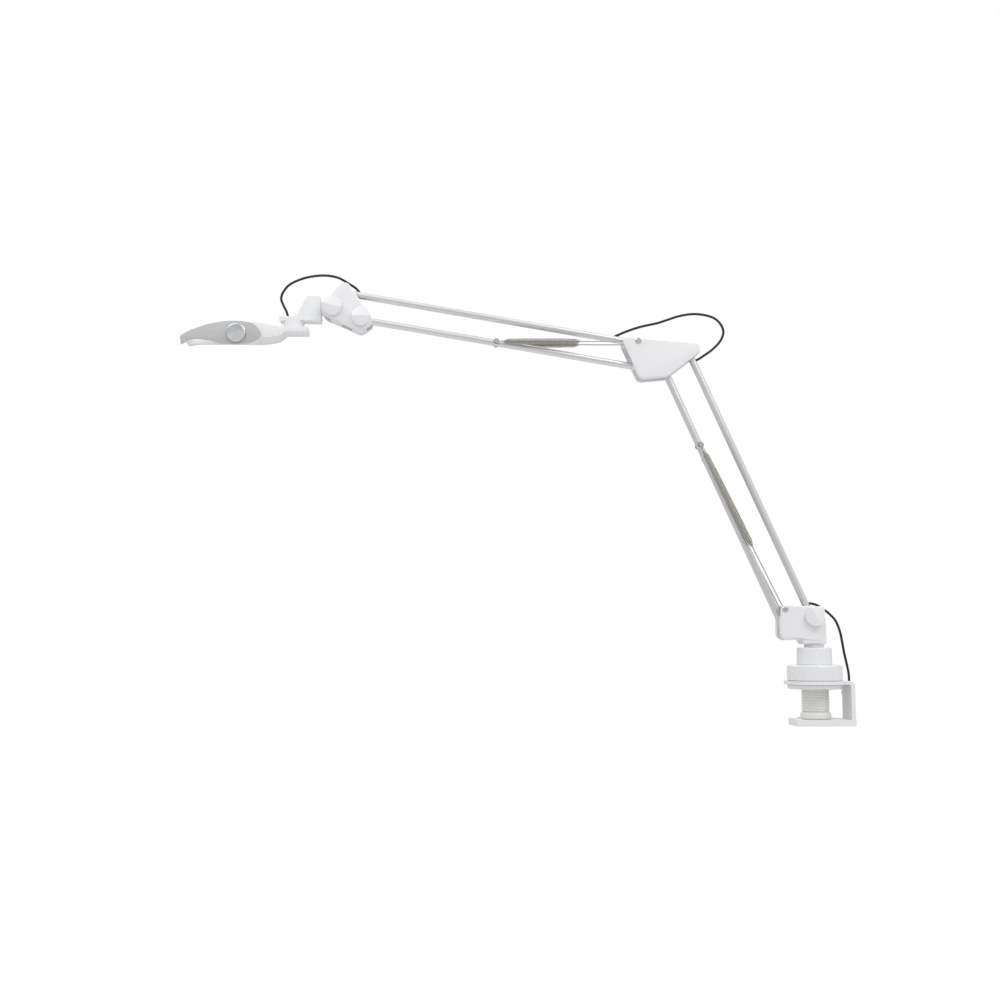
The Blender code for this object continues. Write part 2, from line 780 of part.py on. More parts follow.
def build_tube(name, pivot, angle, cable_ends=(), pin_hole_at=None):
    """Hollow tube between two pivots, with holes for cable ends and for the spring pin."""
    length = ARM_LENGTH - 2 * TUBE_START
    inner = TUBE_R - TUBE_WALL
    profile = [(inner, length), (TUBE_R, length), (TUBE_R, 0.0), (inner, 0.0)]
    tube = turned(name, profile, 20)
    start = lean(pivot, angle, TUBE_START)
    tube.rotation_euler = (0.0, math.radians(angle), 0.0)
    tube.location = Vector((start[0], 0.0, start[1])) * MM
    for end in cable_ends:
        cut(tube, cable_bore(name + "_cable_hole", end))
    if pin_hole_at is not None:
        radius = SPRING_PIN_R + GAP
        cut(tube, cross_cylinder(name + "_pin_hole", pin_hole_at, radius, -9.0, 9.0, 16))
    return finished(tube, TUBE_METAL)


def build_eye(name, pivot, angle):
    """End eye of a tube: a cross bush for the pin and a plug inside the tube."""
    eye = cross_cylinder(name, pivot, EYE_R, -EYE_HALF, EYE_HALF, 20)
    plug_r = TUBE_R - TUBE_WALL - GAP
    plug = leaning_cylinder("plug", pivot, angle, 2.0, TUBE_START + 4.0, plug_r, 14)
    join(eye, plug)
    cut(eye, cross_cylinder(name + "_bore", pivot, STUD_R + GAP, -9.0, 9.0, 14))
    return finished(eye, NYLON)


def build_spring_pin(name, at):
    """Cross pin through a tube with grooved ends that the springs hook on."""
    half = SPRING_Y + 2.6
    profile = [(0.0, half), (2.2, half), (2.8, half - 0.6), (2.8, half - 1.2)]
    profile += [(SPRING_PIN_R, SPRING_Y + 1.1), (SPRING_PIN_R, -SPRING_Y - 1.1)]
    profile += [(2.8, -half + 1.2), (2.8, -half + 0.6), (2.2, -half), (0.0, -half)]
    pin = turned(name, profile, 14)
    pin.rotation_euler = (math.radians(90.0), 0.0, 0.0)
    pin.location = Vector((at[0], 0.0, at[1])) * MM
    return finished(pin, STEEL)


def hook_ring(name, at, y):
    """Closed hook of a spring around a pin."""
    ring = turned(name, ring_profile(SPRING_HOOK_R, SPRING_WIRE_R, 6), 14)
    ring.rotation_euler = (math.radians(90.0), 0.0, 0.0)
    ring.location = Vector((at[0], y, at[1])) * MM
    return ring


def ring_profile(middle, radius, steps):
    """Profile of a torus, running down its outer side."""
    turn = 2.0 * math.pi / steps
    return [
        (middle + radius * math.sin(turn * k), radius * math.cos(turn * k)) for k in range(steps)
    ]


def build_spring(name, lug, anchor, y, tail):
    """Tension spring from a tube's pin to an anchor; tail is the straight wire at the anchor."""
    line = Vector((anchor[0] - lug[0], anchor[1] - lug[1]))
    length = line.length
    angle = math.degrees(math.atan2(line.x, line.y))
    coil = cylinder(name, SPRING_R, length - tail - 7.0, 14)
    middle = lean(lug, angle, (7.0 + length - tail) / 2.0)
    coil.rotation_euler = (0.0, math.radians(angle), 0.0)
    coil.location = Vector((middle[0], y, middle[1])) * MM
    first = lean(lug, angle, SPRING_HOOK_R)
    last = lean(lug, angle, length - SPRING_HOOK_R)
    ends = [(first[0], y, first[1]), (last[0], y, last[1])]
    core = wire(name + "_core", ends, SPRING_WIRE_R, 1)
    join(coil, core)
    join(coil, hook_ring(name + "_top_hook", lug, y))
    join(coil, hook_ring(name + "_anchor_hook", anchor, y))
    return finished(coil, SPRING_STEEL)


# ---------------------------------------------------------------- cables


ELBOW_ROUTE = [
    (-283.0, 0.0, 547.6),
    (-277.0, 0.0, 550.6),
    (-259.5, 0.0, 558.2),
    (-240.1, 0.0, 564.8),
    (-215.7, 0.0, 570.5),
    (-205.3, 0.0, 573.9),
    (-181.9, 0.0, 581.6),
    (-158.8, 0.0, 584.3),
    (-136.9, 0.0, 580.1),
    (-125.3, 0.0, 571.4),
    (-120.3, 0.0, 558.8),
    (-124.9, 0.0, 545.4),
    (-137.0, 0.0, 532.4),
    (-148.0, 0.0, 524.4),
    (-155.6, 0.0, 519.2),
    (-162.8, 0.0, 515.4),
]
WRIST_ROUTE = [
    (-741.9, 0.0, 570.6),
    (-742.6, 0.0, 575.0),
    (-744.4, 0.0, 582.0),
    (-749.5, 0.0, 592.5),
    (-752.6, 0.0, 602.3),
    (-748.7, 0.0, 613.2),
    (-739.5, 0.0, 623.1),
    (-721.9, 0.0, 631.2),
    (-703.2, 0.0, 635.2),
    (-686.7, 0.0, 635.6),
    (-671.4, 0.0, 632.4),
    (-657.5, 0.0, 624.6),
    (-646.2, 0.0, 617.0),
    (-638.0, 0.0, 607.0),
]
LEAD_ROUTE = [
    (-9.6, 0.0, 168.6),
    (-4.6, 0.0, 169.9),
    (3.5, 0.0, 168.2),
    (13.3, 0.0, 162.6),
    (24.0, 0.0, 154.0),
    (32.0, 0.2, 144.6),
    (37.6, 1.0, 130.0),
    (40.8, 3.0, 116.0),
    (44.4, 6.5, 100.0),
    (49.6, 13.0, 84.0),
    (54.2, 20.6, 70.0),
    (55.6, 25.2, 58.0),
    (54.6, 26.6, 46.0),
    (54.0, 26.6, 32.0),
    (54.3, 27.4, 18.0),
    (54.6, 30.6, 8.4),
    (54.4, 36.6, 3.4),
    (53.2, 44.0, 2.1),
    (51.4, 51.0, 2.0),
    (50.7, 57.0, 2.0),
]


CABLES = {
    "elbow_cable": smooth_route(ELBOW_ROUTE, 8.0),
    "wrist_cable": smooth_route(WRIST_ROUTE, 8.0),
    "power_lead": smooth_route(LEAD_ROUTE, 8.0),
}


def cable_bore(name, points):
    """Cutter a little wider than the cable along some of its points, and a little longer."""
    start = points[0] + (points[0] - points[1]).normalized() * 0.6
    end = points[-1] + (points[-1] - points[-2]).normalized() * 0.6
    return wire(name, [start] + points + [end], CABLE_R + GAP)


def build_cable(name):
    return finished(wire(name, CABLES[name], CABLE_R), BLACK)


# ---------------------------------------------------------------- shoulder block and clip


def build_swivel_block():
    """Block between the shoulder covers, with the spindle that turns in the post sleeve."""
    block = box("swivel_block", (-14.8, 10.2), (-14.7, 14.7), (115.9, 135.0))
    round_edges(block, 0.8, 1)
    collar_low = SLEEVE_TOP + GAP
    profile = [
        (0.0, 118.0),
        (SPINDLE_R + 3.4, 118.0),
        (SPINDLE_R + 3.4, 112.8),
        (SPINDLE_R + 8.0, 112.8),
        (SPINDLE_R + 8.0, collar_low),
        (SPINDLE_R, collar_low),
        (SPINDLE_R, POST_BORE_BOTTOM + 0.4),
        (0.0, POST_BORE_BOTTOM + 0.4),
    ]
    join(block, turned("spindle", profile, 36))
    return finished(block, WHITE)


def build_lead_clip():
    """Clip on the spine's rear edge that holds the lead."""
    clip = box("lead_clip", (45.5, 58.0), (SPINE_HALF + GAP, SPINE_HALF + 8.0), (42.0, 50.0))
    round_edges(clip, 1.0, 2)
    run = [p for p in CABLES["power_lead"] if 30.0 < p[2] < 62.0]
    cut(clip, cable_bore("lead_clip_bore", run))
    return finished(clip, WHITE)


# ---------------------------------------------------------------- head


def upright_slab(name, outline, z_from, z_to):
    """A block with the outline in plan (X, Y), between two heights."""
    thing = flat_curve(name, outline, (z_to - z_from) / 2.0)
    thing.rotation_euler = (0.0, 0.0, 0.0)
    bpy.context.view_layer.update()
    thing = as_mesh(thing)
    thing.location.z = (z_from + z_to) / 2.0 * MM
    return thing


HEAD_TOP = [
    (-888.6, 541.5, "c"),
    (-879.0, 546.2, "s"),
    (-869.0, 550.8, "s"),
    (-849.0, 557.6, "s"),
    (-827.0, 561.6, "s"),
    (-809.6, 562.2, "s"),
    (-792.0, 561.3, "s"),
    (-772.0, 559.6, "s"),
]
HEAD_OUTLINE = smooth_outline(
    HEAD_TOP
    + [
        (-752.0, NECK_TOP, "c"),
        (NECK_END, NECK_TOP, "c"),
        (NECK_END, NECK_LOW, "c"),
        (-744.6, NECK_LOW, "c"),
        (-753.0, 543.8, "s"),
        (-768.0, 540.8, "s"),
        (-785.0, UNDERSIDE, "c"),
        (-850.0, UNDERSIDE, "c"),
        (-872.0, 539.6, "s"),
        (-886.0, 537.4, "c"),
    ]
)
PANEL_END = [
    (-793.2, 560.4, "s"),
    (-785.4, 556.8, "s"),
    (-779.0, 549.6, "s"),
    (-777.0, 543.6, "s"),
    (-780.0, 538.0, "s"),
    (-788.0, 532.6, "s"),
]
FRONT_PANEL_OUTLINE = smooth_outline(
    [(-888.4, 540.6, "c")]
    + HEAD_TOP[1:6]
    + PANEL_END
    + [
        (-798.1, 530.4, "s"),
        (-812.0, 529.5, "s"),
        (-827.2, 529.8, "s"),
        (-837.0, 531.2, "s"),
        (-848.0, 534.6, "s"),
        (-860.0, 536.2, "s"),
        (-870.4, 536.2, "s"),
        (-878.6, 533.6, "s"),
        (-884.6, 529.6, "s"),
        (-887.2, 528.6, "c"),
    ]
)
REAR_PANEL_OUTLINE = smooth_outline(
    [(-887.6, 540.9, "c")]
    + HEAD_TOP[1:6]
    + PANEL_END[:4]
    + [
        (-781.0, UNDERSIDE + 0.5, "c"),
        (-850.0, UNDERSIDE + 0.5, "c"),
        (-872.0, 540.1, "s"),
        (-885.4, 538.0, "c"),
    ]
)
HEAD_PLAN = [
    (-895.0, -HEAD_HALF + 3.0, 0.0),
    (-886.0, -HEAD_HALF, 3.0),
    (-772.0, -HEAD_HALF, 12.0),
    (-748.0, -NECK_HALF, 8.0),
    (NECK_END + 0.1, -NECK_HALF, 4.0),
    (NECK_END + 0.1, NECK_HALF, 4.0),
    (-748.0, NECK_HALF, 8.0),
    (-772.0, HEAD_HALF, 12.0),
    (-886.0, HEAD_HALF, 3.0),
    (-895.0, HEAD_HALF - 3.0, 0.0),
]
LOOP_PLAN = [
    (-880.0, -LOOP_HALF, 7.0),
    (-849.0, -LOOP_HALF, 7.0),
    (-849.0, LOOP_HALF, 7.0),
    (-880.0, LOOP_HALF, 7.0),
]
RECESS = ((-842.0, -782.0), (-20.0, 20.0), (UNDERSIDE - 4.0, UNDERSIDE + 8.0))


def build_head_shell():
    """Head with its neck plate, finger hole and the recess for the light."""
    shell = slab("head_shell", HEAD_OUTLINE, -HEAD_HALF - 5.0, HEAD_HALF + 5.0)
    combine(shell, upright_slab("head_plan", rounded_outline(HEAD_PLAN), 520.0, 580.0), "INTERSECT")
    cut(shell, upright_slab("finger_hole", rounded_outline(LOOP_PLAN), 520.0, 580.0))
    round_edges(shell, 1.0, 2, 45.0)
    cut(shell, box("light_recess", *RECESS))
    pin_low = NECK_LOW + 1.4
    cut(shell, upright_cylinder("head_pin_hole", SWIVEL_PIN_R + GAP, pin_low, 565.0, SWIVEL_X))
    return finished(shell, WHITE, 30.0)


def build_side_panel(side):
    name = "side_panel_front" if side < 0 else "side_panel_rear"
    outline = FRONT_PANEL_OUTLINE if side < 0 else REAR_PANEL_OUTLINE
    near = side * (HEAD_HALF + GAP)
    far = side * (HEAD_HALF + GAP + PANEL_THICK)
    panel = slab(name, outline, min(near, far), max(near, far))
    round_edges(panel, 0.7, 2, 45.0)
    if side < 0:
        hole = cross_cylinder("dial_hole", DIAL_AT, STUD_R + GAP, far - 3.0, near + 3.0, 20)
        cut(panel, hole)
    return finished(panel, PANEL_METAL, 30.0)


def build_dimmer_dial():
    """Turned aluminium dial with a shallow dished face and a spindle in the front panel."""
    low = GAP
    profile = [
        (0.0, DIAL_HIGH - 0.5),
        (DIAL_R - 2.2, DIAL_HIGH - 0.1),
        (DIAL_R - 1.2, DIAL_HIGH),
        (DIAL_R, DIAL_HIGH - 1.0),
        (DIAL_R, low),
        (STUD_R, low),
        (STUD_R, -PANEL_THICK + 0.1),
        (0.0, -PANEL_THICK + 0.1),
    ]
    dial = turned("dimmer_dial", profile, 36)
    dial.rotation_euler = (math.radians(90.0), 0.0, 0.0)
    face = -(HEAD_HALF + GAP + PANEL_THICK)
    dial.location = Vector((DIAL_AT[0], face, DIAL_AT[1])) * MM
    return finished(dial, DIAL_METAL, 25.0)


def build_diffuser():
    x, y, z = RECESS
    edge = 0.4
    span = ((x[0] + edge, x[1] - edge), (y[0] + edge, y[1] - edge))
    diffuser = box("diffuser", *span, (UNDERSIDE - 0.2, UNDERSIDE + 2.0))
    round_edges(diffuser, 0.4, 2)
    return finished(diffuser, FROSTED)


def build_led_board():
    """Light board at the bottom of the recess, with its rows of light spots."""
    x, y, z = RECESS
    top = z[1] - GAP
    board = box("led_board", (x[0] + 2, x[1] - 2), (y[0] + 2, y[1] - 2), (top - 1.6, top))
    for row in range(3):
        for column in range(7):
            at_x = x[0] + 6.0 + column * 8.0
            at_y = -12.0 + row * 12.0
            spot = box("spot", (at_x - 1.5, at_x + 1.5), (at_y - 1.5, at_y + 1.5), (top - 2.4, top - 1))
            join(board, spot)
    return finished(board, BOARD)


def build_head_bracket():
    """Tower with the tilt eye, base plate and swivel boss above the head's neck."""
    outline = rounded_outline(
        [
            (-753.8, BRACKET_BASE, 1.2),
            (-694.6, BRACKET_BASE, 1.2),
            (-696.4, BRACKET_TOP, 2.5),
            (-714.4, BRACKET_TOP, 2.5),
            (-729.8, BRACKET_BASE + 5.8, 6.0),
            (-753.8, BRACKET_BASE + 5.8, 1.2),
        ]
    )
    bracket = slab("head_bracket", outline, -BRACKET_HALF, BRACKET_HALF)
    round_edges(bracket, 0.9, 2, 50.0)
    x, z = TILT
    arm = box("tilt_arm", (-700.0, x), (-9.0, 9.0), (z - 7.5, z + 7.5))
    eye = cross_cylinder("tilt_eye", TILT, 9.0, -COVER_INSIDE + 0.5, COVER_INSIDE - 0.5, 32)
    swivel = upright_cylinder("swivel_boss", 15.0, NECK_TOP + GAP, BRACKET_BASE + 1.0, SWIVEL_X)
    join(bracket, arm, eye, swivel)
    pin_top = BRACKET_BASE + 3.9
    cut(bracket, cross_cylinder("tilt_bore", TILT, STUD_R + GAP, -20.0, 20.0, 20))
    cut(bracket, upright_cylinder("bracket_pin_hole", SWIVEL_PIN_R + GAP, 550.0, pin_top, SWIVEL_X))
    cut(bracket, cable_bore("bracket_cable_hole", CABLES["wrist_cable"][:3]))
    return finished(bracket, WHITE)


def build_swivel_pin():
    low = NECK_LOW + 1.4 + GAP
    high = BRACKET_BASE + 3.9 - GAP
    return finished(upright_cylinder("swivel_pin", SWIVEL_PIN_R, low, high, SWIVEL_X), STEEL)


# ---------------------------------------------------------------- stored coil and plug


def build_lead_coil():
    """The stored turns of the lead as one ring, lying behind the lower jaw."""
    low = 0.2
    profile = [
        (COIL_INNER + 1.4, COIL_HIGH),
        (COIL_OUTER - 1.4, COIL_HIGH),
        (COIL_OUTER, COIL_HIGH - 1.4),
        (COIL_OUTER, low + 1.4),
        (COIL_OUTER - 1.4, low),
        (COIL_INNER + 1.4, low),
        (COIL_INNER, low + 1.4),
        (COIL_INNER, COIL_HIGH - 1.4),
    ]
    coil = turned("lead_coil", profile, 28)
    coil.location = Vector((*COIL_AT, 0.0)) * MM
    return finished(coil, BLACK)


def build_lead_plug():
    """Barrel plug with its strain relief and the last of the lead, beside the coil."""
    profile = [
        (0.0, PLUG_LENGTH),
        (2.6, PLUG_LENGTH),
        (2.75, PLUG_LENGTH - 0.5),
        (2.75, 27.0),
        (3.2, 27.0),
        (3.2, 13.5),
        (2.9, 13.0),
        (2.2, 6.0),
        (CABLE_R, 5.6),
        (CABLE_R, 0.0),
        (0.0, 0.0),
    ]
    plug = turned("lead_plug", profile, 16)
    a = math.radians(PLUG_ANGLE)
    reach = COIL_OUTER + CABLE_R + GAP
    start = Vector((COIL_AT[0] + reach * math.cos(a), COIL_AT[1] + reach * math.sin(a), 5.3))
    along = Vector((-math.sin(a), math.cos(a), -0.055)).normalized()
    plug.rotation_mode = "QUATERNION"
    plug.rotation_quaternion = along.to_track_quat("Z", "Y")
    plug.location = start * MM
    return finished(plug, BLACK)


# ---------------------------------------------------------------- assembly


def build_clamp():
    build_clamp_frame()
    build_clamp_nut()
    build_clamp_screw()
    build_tightening_ring()
    build_screw_foot()
    build_post_sleeve()
    build_lead_clip()


def build_joints():
    build_swivel_block()
    for side in (-1, 1):
        build_shoulder_cover(side)
        build_spring_screw(side)
        build_elbow_cover(side)
        build_wrist_plate(side)
    build_pin("shoulder_pin", P1)
    build_pin("elbow_pin_front_tube", Q1)
    build_pin("elbow_pin_rear_tube", Q2)
    build_pin("elbow_pin_bottom_tube", R2)
    build_elbow_screw()
    build_pin("wrist_pin", S1)
    for name, at, ridge_angle in (
        ("shoulder_knob", P2, -26.0),
        ("wrist_knob", S2, 90.0),
        ("tilt_knob", TILT, 105.0),
    ):
        build_knob(name, at, ridge_angle)
        build_knob_nut(name + "_nut", at)


def build_arms():
    elbow, wrist, lead = (CABLES[name] for name in ("elbow_cable", "wrist_cable", "power_lead"))
    build_tube("lower_front_tube", P1, LOWER_ANGLE, [], LOWER_LUG)
    build_tube("lower_rear_tube", P2, LOWER_ANGLE, [lead[:3], elbow[-3:]])
    build_tube("upper_top_tube", R1, UPPER_ANGLE, [elbow[:3], wrist[-3:]])
    build_tube("upper_bottom_tube", R2, UPPER_ANGLE, [], UPPER_LUG)
    build_eye("lower_front_eye_bottom", P1, LOWER_ANGLE)
    build_eye("lower_front_eye_top", Q1, LOWER_ANGLE + 180.0)
    build_eye("lower_rear_eye_bottom", P2, LOWER_ANGLE)
    build_eye("lower_rear_eye_top", Q2, LOWER_ANGLE + 180.0)
    build_eye("upper_top_eye_elbow", R1, UPPER_ANGLE)
    build_eye("upper_top_eye_wrist", S1, UPPER_ANGLE + 180.0)
    build_eye("upper_bottom_eye_elbow", R2, UPPER_ANGLE)
    build_eye("upper_bottom_eye_wrist", S2, UPPER_ANGLE + 180.0)
    build_spring_pin("lower_spring_pin", LOWER_LUG)
    build_spring_pin("upper_spring_pin", UPPER_LUG)
    for side, word in ((-1, "front"), (1, "rear")):
        build_spring(f"lower_spring_{word}", LOWER_LUG, SPRING_SCREW, side * SPRING_Y, 95.0)
        build_spring(f"upper_spring_{word}", UPPER_LUG, R1, side * SPRING_Y, 80.0)


def build_head():
    build_head_bracket()
    build_swivel_pin()
    build_head_shell()
    build_side_panel(-1)
    build_side_panel(1)
    build_dimmer_dial()
    build_diffuser()
    build_led_board()


def build_cables():
    for name in CABLES:
        build_cable(name)
    build_lead_coil()
    build_lead_plug()


build_clamp()
build_joints()
build_arms()
build_head()
build_cables()
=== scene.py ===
"""Looks of the clamp-on desk lamp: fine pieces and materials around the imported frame.

Lengths below are in millimetres; MM turns them into Blender's metres. The frame is the part's own:
origin on the clamp screw's axis at the underside of the lower jaw, +Z up, the arms reach to -X.
"""

import json
import math

import bmesh
import bpy
from mathutils import Matrix, Vector

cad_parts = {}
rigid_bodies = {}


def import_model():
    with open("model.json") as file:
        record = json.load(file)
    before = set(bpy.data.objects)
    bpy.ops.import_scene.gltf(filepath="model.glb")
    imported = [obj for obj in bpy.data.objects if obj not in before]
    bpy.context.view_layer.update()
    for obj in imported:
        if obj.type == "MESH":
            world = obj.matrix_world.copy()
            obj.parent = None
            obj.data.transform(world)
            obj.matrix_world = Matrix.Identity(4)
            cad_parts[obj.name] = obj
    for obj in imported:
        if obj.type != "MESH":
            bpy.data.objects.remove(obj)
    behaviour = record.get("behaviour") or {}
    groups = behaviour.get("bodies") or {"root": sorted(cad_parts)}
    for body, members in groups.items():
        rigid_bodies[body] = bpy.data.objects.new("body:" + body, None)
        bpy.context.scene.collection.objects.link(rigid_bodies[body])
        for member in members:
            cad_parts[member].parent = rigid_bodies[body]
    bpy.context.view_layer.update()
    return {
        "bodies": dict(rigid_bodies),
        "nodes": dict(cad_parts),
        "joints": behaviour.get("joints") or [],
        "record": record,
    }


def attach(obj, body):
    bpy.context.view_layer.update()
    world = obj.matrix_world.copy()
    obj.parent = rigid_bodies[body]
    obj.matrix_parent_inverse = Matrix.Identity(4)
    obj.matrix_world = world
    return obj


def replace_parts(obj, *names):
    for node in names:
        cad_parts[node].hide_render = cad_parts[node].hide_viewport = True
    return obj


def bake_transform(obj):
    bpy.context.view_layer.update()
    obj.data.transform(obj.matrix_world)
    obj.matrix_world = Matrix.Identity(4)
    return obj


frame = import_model()
RECORD = frame["record"]
BODY_OF = {n: b for b, nodes in RECORD["behaviour"]["bodies"].items() for n in nodes}
SLOT_OF = {row["node"]: row["material_slot"] for row in RECORD["subparts"]}

MM = 0.001
GAP = 0.3  # clearance between neighbouring pieces

# Arms: pivots in the (X, Z) plane, tube size and lean.
LOWER_PIVOT = (-3.0, 151.0)  # rear tube in the shoulder
ARM_LENGTH = 418.0  # pivot to pivot, both arms
LOWER_LEAN = 24.0  # degrees from vertical, towards -X
UPPER_RISE = 9.5  # degrees above horizontal, towards -X
LOWER_OFFSET = (-35.0, -26.0)  # front tube's pivots from the rear tube's
UPPER_OFFSET = (20.0, -38.0)  # bottom tube's pivots from the top tube's
ELBOW_OFFSET = (-72.5, 8.1)  # elbow screw from the lower rear tube's top pivot
TILT_OFFSET = (-20.3, -23.5)  # tilt axis from the top tube's wrist pivot
SPRING_SCREW = (-44.0, 161.5)  # lower springs' anchor on the shoulder
LOWER_SPRING_REACH = 294.0  # spring pin along the front tube, from its bottom pivot
UPPER_SPRING_REACH = 224.0  # spring pin along the bottom tube, from its elbow pivot
TUBE_R = 5.0
TUBE_WALL = 1.0
EYE_R = 6.4
EYE_HALF = 6.2  # half of an eye's length along Y
TUBE_START = 9.0  # a tube starts this far from its pivot
PIN_R = 2.5
STUD_R = 3.0
CABLE_R = 1.75

# Covers of the shoulder, elbow and wrist.
COVER_HALF = 17.5  # outer faces at Y = +-COVER_HALF
COVER_SKIN = 2.4
SLOT_HALF = 6.6  # half width of the slot that the tubes swing in
COVER_INSIDE = COVER_HALF - COVER_SKIN

# Springs.
SPRING_Y = 10.5
SPRING_R = 4.6
SPRING_WIRE_R = 0.8
SPRING_PIN_R = 1.6
SPRING_HOOK_R = 3.7

# Knobs.
KNOB_R = 13.3
KNOB_HIGH = 9.0
KNOB_LOW = 5.0
NUT_R = 6.0

# Clamp.
JAW_HIGH = 9.0
JAW_LEFT = -32.4
JAW_HALF = 25.0
SPINE_IN = 44.5
SPINE_OUT = 50.0
SPINE_HALF = 22.5
PLATE_LOW = 57.0
PLATE_TOP = 62.0
PLATE_R = 42.6
NUT_DISC_R = 38.2
NUT_DISC_LOW = 50.5
THREAD_R = 19.1
THREAD_DEPTH = 1.1
THREAD_PITCH = 4.0
THREAD_LOW = 19.3
RING_R = 38.2
RING_TOP = 84.0
RING_NECK_R = 14.5
SPIGOT_R = 8.0
SPINDLE_R = 6.0
FOOT_R = 21.1
SLEEVE_R = 23.9
SLEEVE_TOP = 108.0
POST_BORE_BOTTOM = 72.0

# Head.
HEAD_HALF = 25.0
PANEL_THICK = 3.0
LOOP_HALF = 16.5  # half width of the finger hole
UNDERSIDE = 540.0
DIAL_R = 13.4
DIAL_HIGH = 4.6
DIAL_AT = (-810.6, 544.6)
SWIVEL_X = -734.0
NECK_TOP = 557.4
NECK_LOW = 550.5
NECK_HALF = 17.5
NECK_END = -713.0
BRACKET_HALF = 12.0
BRACKET_BASE = 567.6
BRACKET_TOP = 603.0
SWIVEL_PIN_R = 3.5

# Power lead and its stored coil, which lies behind the lower jaw.
COIL_AT = (20.0, 57.0)  # centre of the coil in plan (X, Y)
COIL_INNER = 12.0  # radius of the lead's middle in its innermost turn
COIL_OUTER = 28.4  # outer radius of the widest turn
COIL_START = 30.7  # radius where the lead arrives
COIL_PITCH = 3.6  # from one turn to the next
COIL_LOW = 2.0  # height of the turns that run inwards
COIL_TOP = 5.3  # height of the turns on top of them, which run outwards
COIL_ENTRY = 60.0  # degrees over which the lead joins the widest turn
COIL_CLIMB = 60.0  # degrees over which it climbs on top
COIL_EXIT = 70.0  # degrees over which it leaves
PLUG_ANGLE = 165.0  # where the lead leaves the coil, in degrees about its centre
PLUG_REACH = COIL_OUTER + CABLE_R + GAP  # radius where it leaves
COIL_END = 8 * 360.0 + PLUG_ANGLE
PLUG_LENGTH = 36.0


def lean(point, angle, distance):
    """The point that lies a distance from another, at an angle from +Z towards +X, in degrees."""
    a = math.radians(angle)
    return (point[0] + distance * math.sin(a), point[1] + distance * math.cos(a))


def shift(point, offset):
    return (point[0] + offset[0], point[1] + offset[1])


LOWER_ANGLE = -LOWER_LEAN
UPPER_ANGLE = -(90.0 - UPPER_RISE)
P2 = LOWER_PIVOT
P1 = shift(P2, LOWER_OFFSET)
Q2 = lean(P2, LOWER_ANGLE, ARM_LENGTH)
Q1 = lean(P1, LOWER_ANGLE, ARM_LENGTH)
R1 = shift(Q2, ELBOW_OFFSET)
R2 = shift(R1, UPPER_OFFSET)
S1 = lean(R1, UPPER_ANGLE, ARM_LENGTH)
S2 = lean(R2, UPPER_ANGLE, ARM_LENGTH)
TILT = shift(S1, TILT_OFFSET)
LOWER_LUG = lean(P1, LOWER_ANGLE, LOWER_SPRING_REACH)
UPPER_LUG = lean(R2, UPPER_ANGLE, UPPER_SPRING_REACH)

# ---------------------------------------------------------------- camera

CAMERA_AT = (-506.8, -1880.0, 117.0)
CAMERA_YAW = 2.0  # degrees from +Y towards +X
CAMERA_PITCH = 6.0  # degrees upwards
CAMERA_LENS = 48.348
CAMERA_SENSOR = 36.0


def make_camera():
    data = bpy.data.cameras.new("camera")
    data.sensor_width = CAMERA_SENSOR
    data.lens = CAMERA_LENS
    data.clip_end = 50.0
    camera = bpy.data.objects.new("camera", data)
    bpy.context.scene.collection.objects.link(camera)
    yaw, pitch = math.radians(CAMERA_YAW), math.radians(CAMERA_PITCH)
    along = Vector(
        (math.sin(yaw) * math.cos(pitch), math.cos(yaw) * math.cos(pitch), math.sin(pitch))
    )
    camera.location = Vector(CAMERA_AT) * MM
    camera.rotation_mode = "QUATERNION"
    camera.rotation_quaternion = along.to_track_quat("-Z", "Y")
    bpy.context.scene.camera = camera
    bpy.context.scene.view_settings.view_transform = "Standard"


make_camera()


# ---------------------------------------------------------------- helpers


def add_object(name, data):
    thing = bpy.data.objects.new(name, data)
    bpy.context.scene.collection.objects.link(thing)
    return thing


def as_mesh(curve_object):
    """Turns a curve object into a mesh object with welded caps, in the same place."""
    evaluated = curve_object.evaluated_get(bpy.context.evaluated_depsgraph_get())
    mesh = bpy.data.meshes.new_from_object(evaluated)
    bm = bmesh.new()
    bm.from_mesh(mesh)
    bmesh.ops.remove_doubles(bm, verts=bm.verts, dist=1e-6)
    bmesh.ops.recalc_face_normals(bm, faces=bm.faces)
    bm.to_mesh(mesh)
    bm.free()
    name = curve_object.name
    place = curve_object.matrix_world.copy()
    bpy.data.objects.remove(curve_object, do_unlink=True)
    thing = add_object(name, mesh)
    thing.matrix_world = place
    return thing


def finished(thing, angle=30.0):
    """Gives a piece its material and makes it stand for the CAD node of the same name."""
    node = thing.name.split(".")[0]
    slot = SLOT_OF[node]
    painted(thing, PAINTS[slot], angle)
    thing.name = node + "_fine"
    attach(thing, BODY_OF[node])
    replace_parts(thing, node)
    return thing


def painted(thing, paint, angle=30.0):
    """Gives a piece one material, smooth shading and sharp edges above an angle in degrees."""
    thing.data.materials.clear()
    thing.data.materials.append(paint)
    thing.data.shade_smooth()
    thing.data.set_sharp_from_angle(angle=math.radians(angle))
    return thing


def apply_modifiers(thing):
    bpy.context.view_layer.update()
    evaluated = thing.evaluated_get(bpy.context.evaluated_depsgraph_get())
    mesh = bpy.data.meshes.new_from_object(evaluated)
    thing.modifiers.clear()
    thing.data = mesh
    return thing


def combine(thing, other, operation):
    """Applies an EXACT Boolean to an object and uses up the other object."""
    bpy.context.view_layer.update()
    boolean = thing.modifiers.new(operation.lower(), "BOOLEAN")
    boolean.operation = operation
    boolean.solver = "EXACT"
    boolean.object = other
    apply_modifiers(thing)
    bpy.data.objects.remove(other, do_unlink=True)
    return thing


def cut(thing, *cutters):
    for cutter in cutters:
        combine(thing, cutter, "DIFFERENCE")
    return thing


def join(thing, *others):
    for other in others:
        combine(thing, other, "UNION")
    return thing


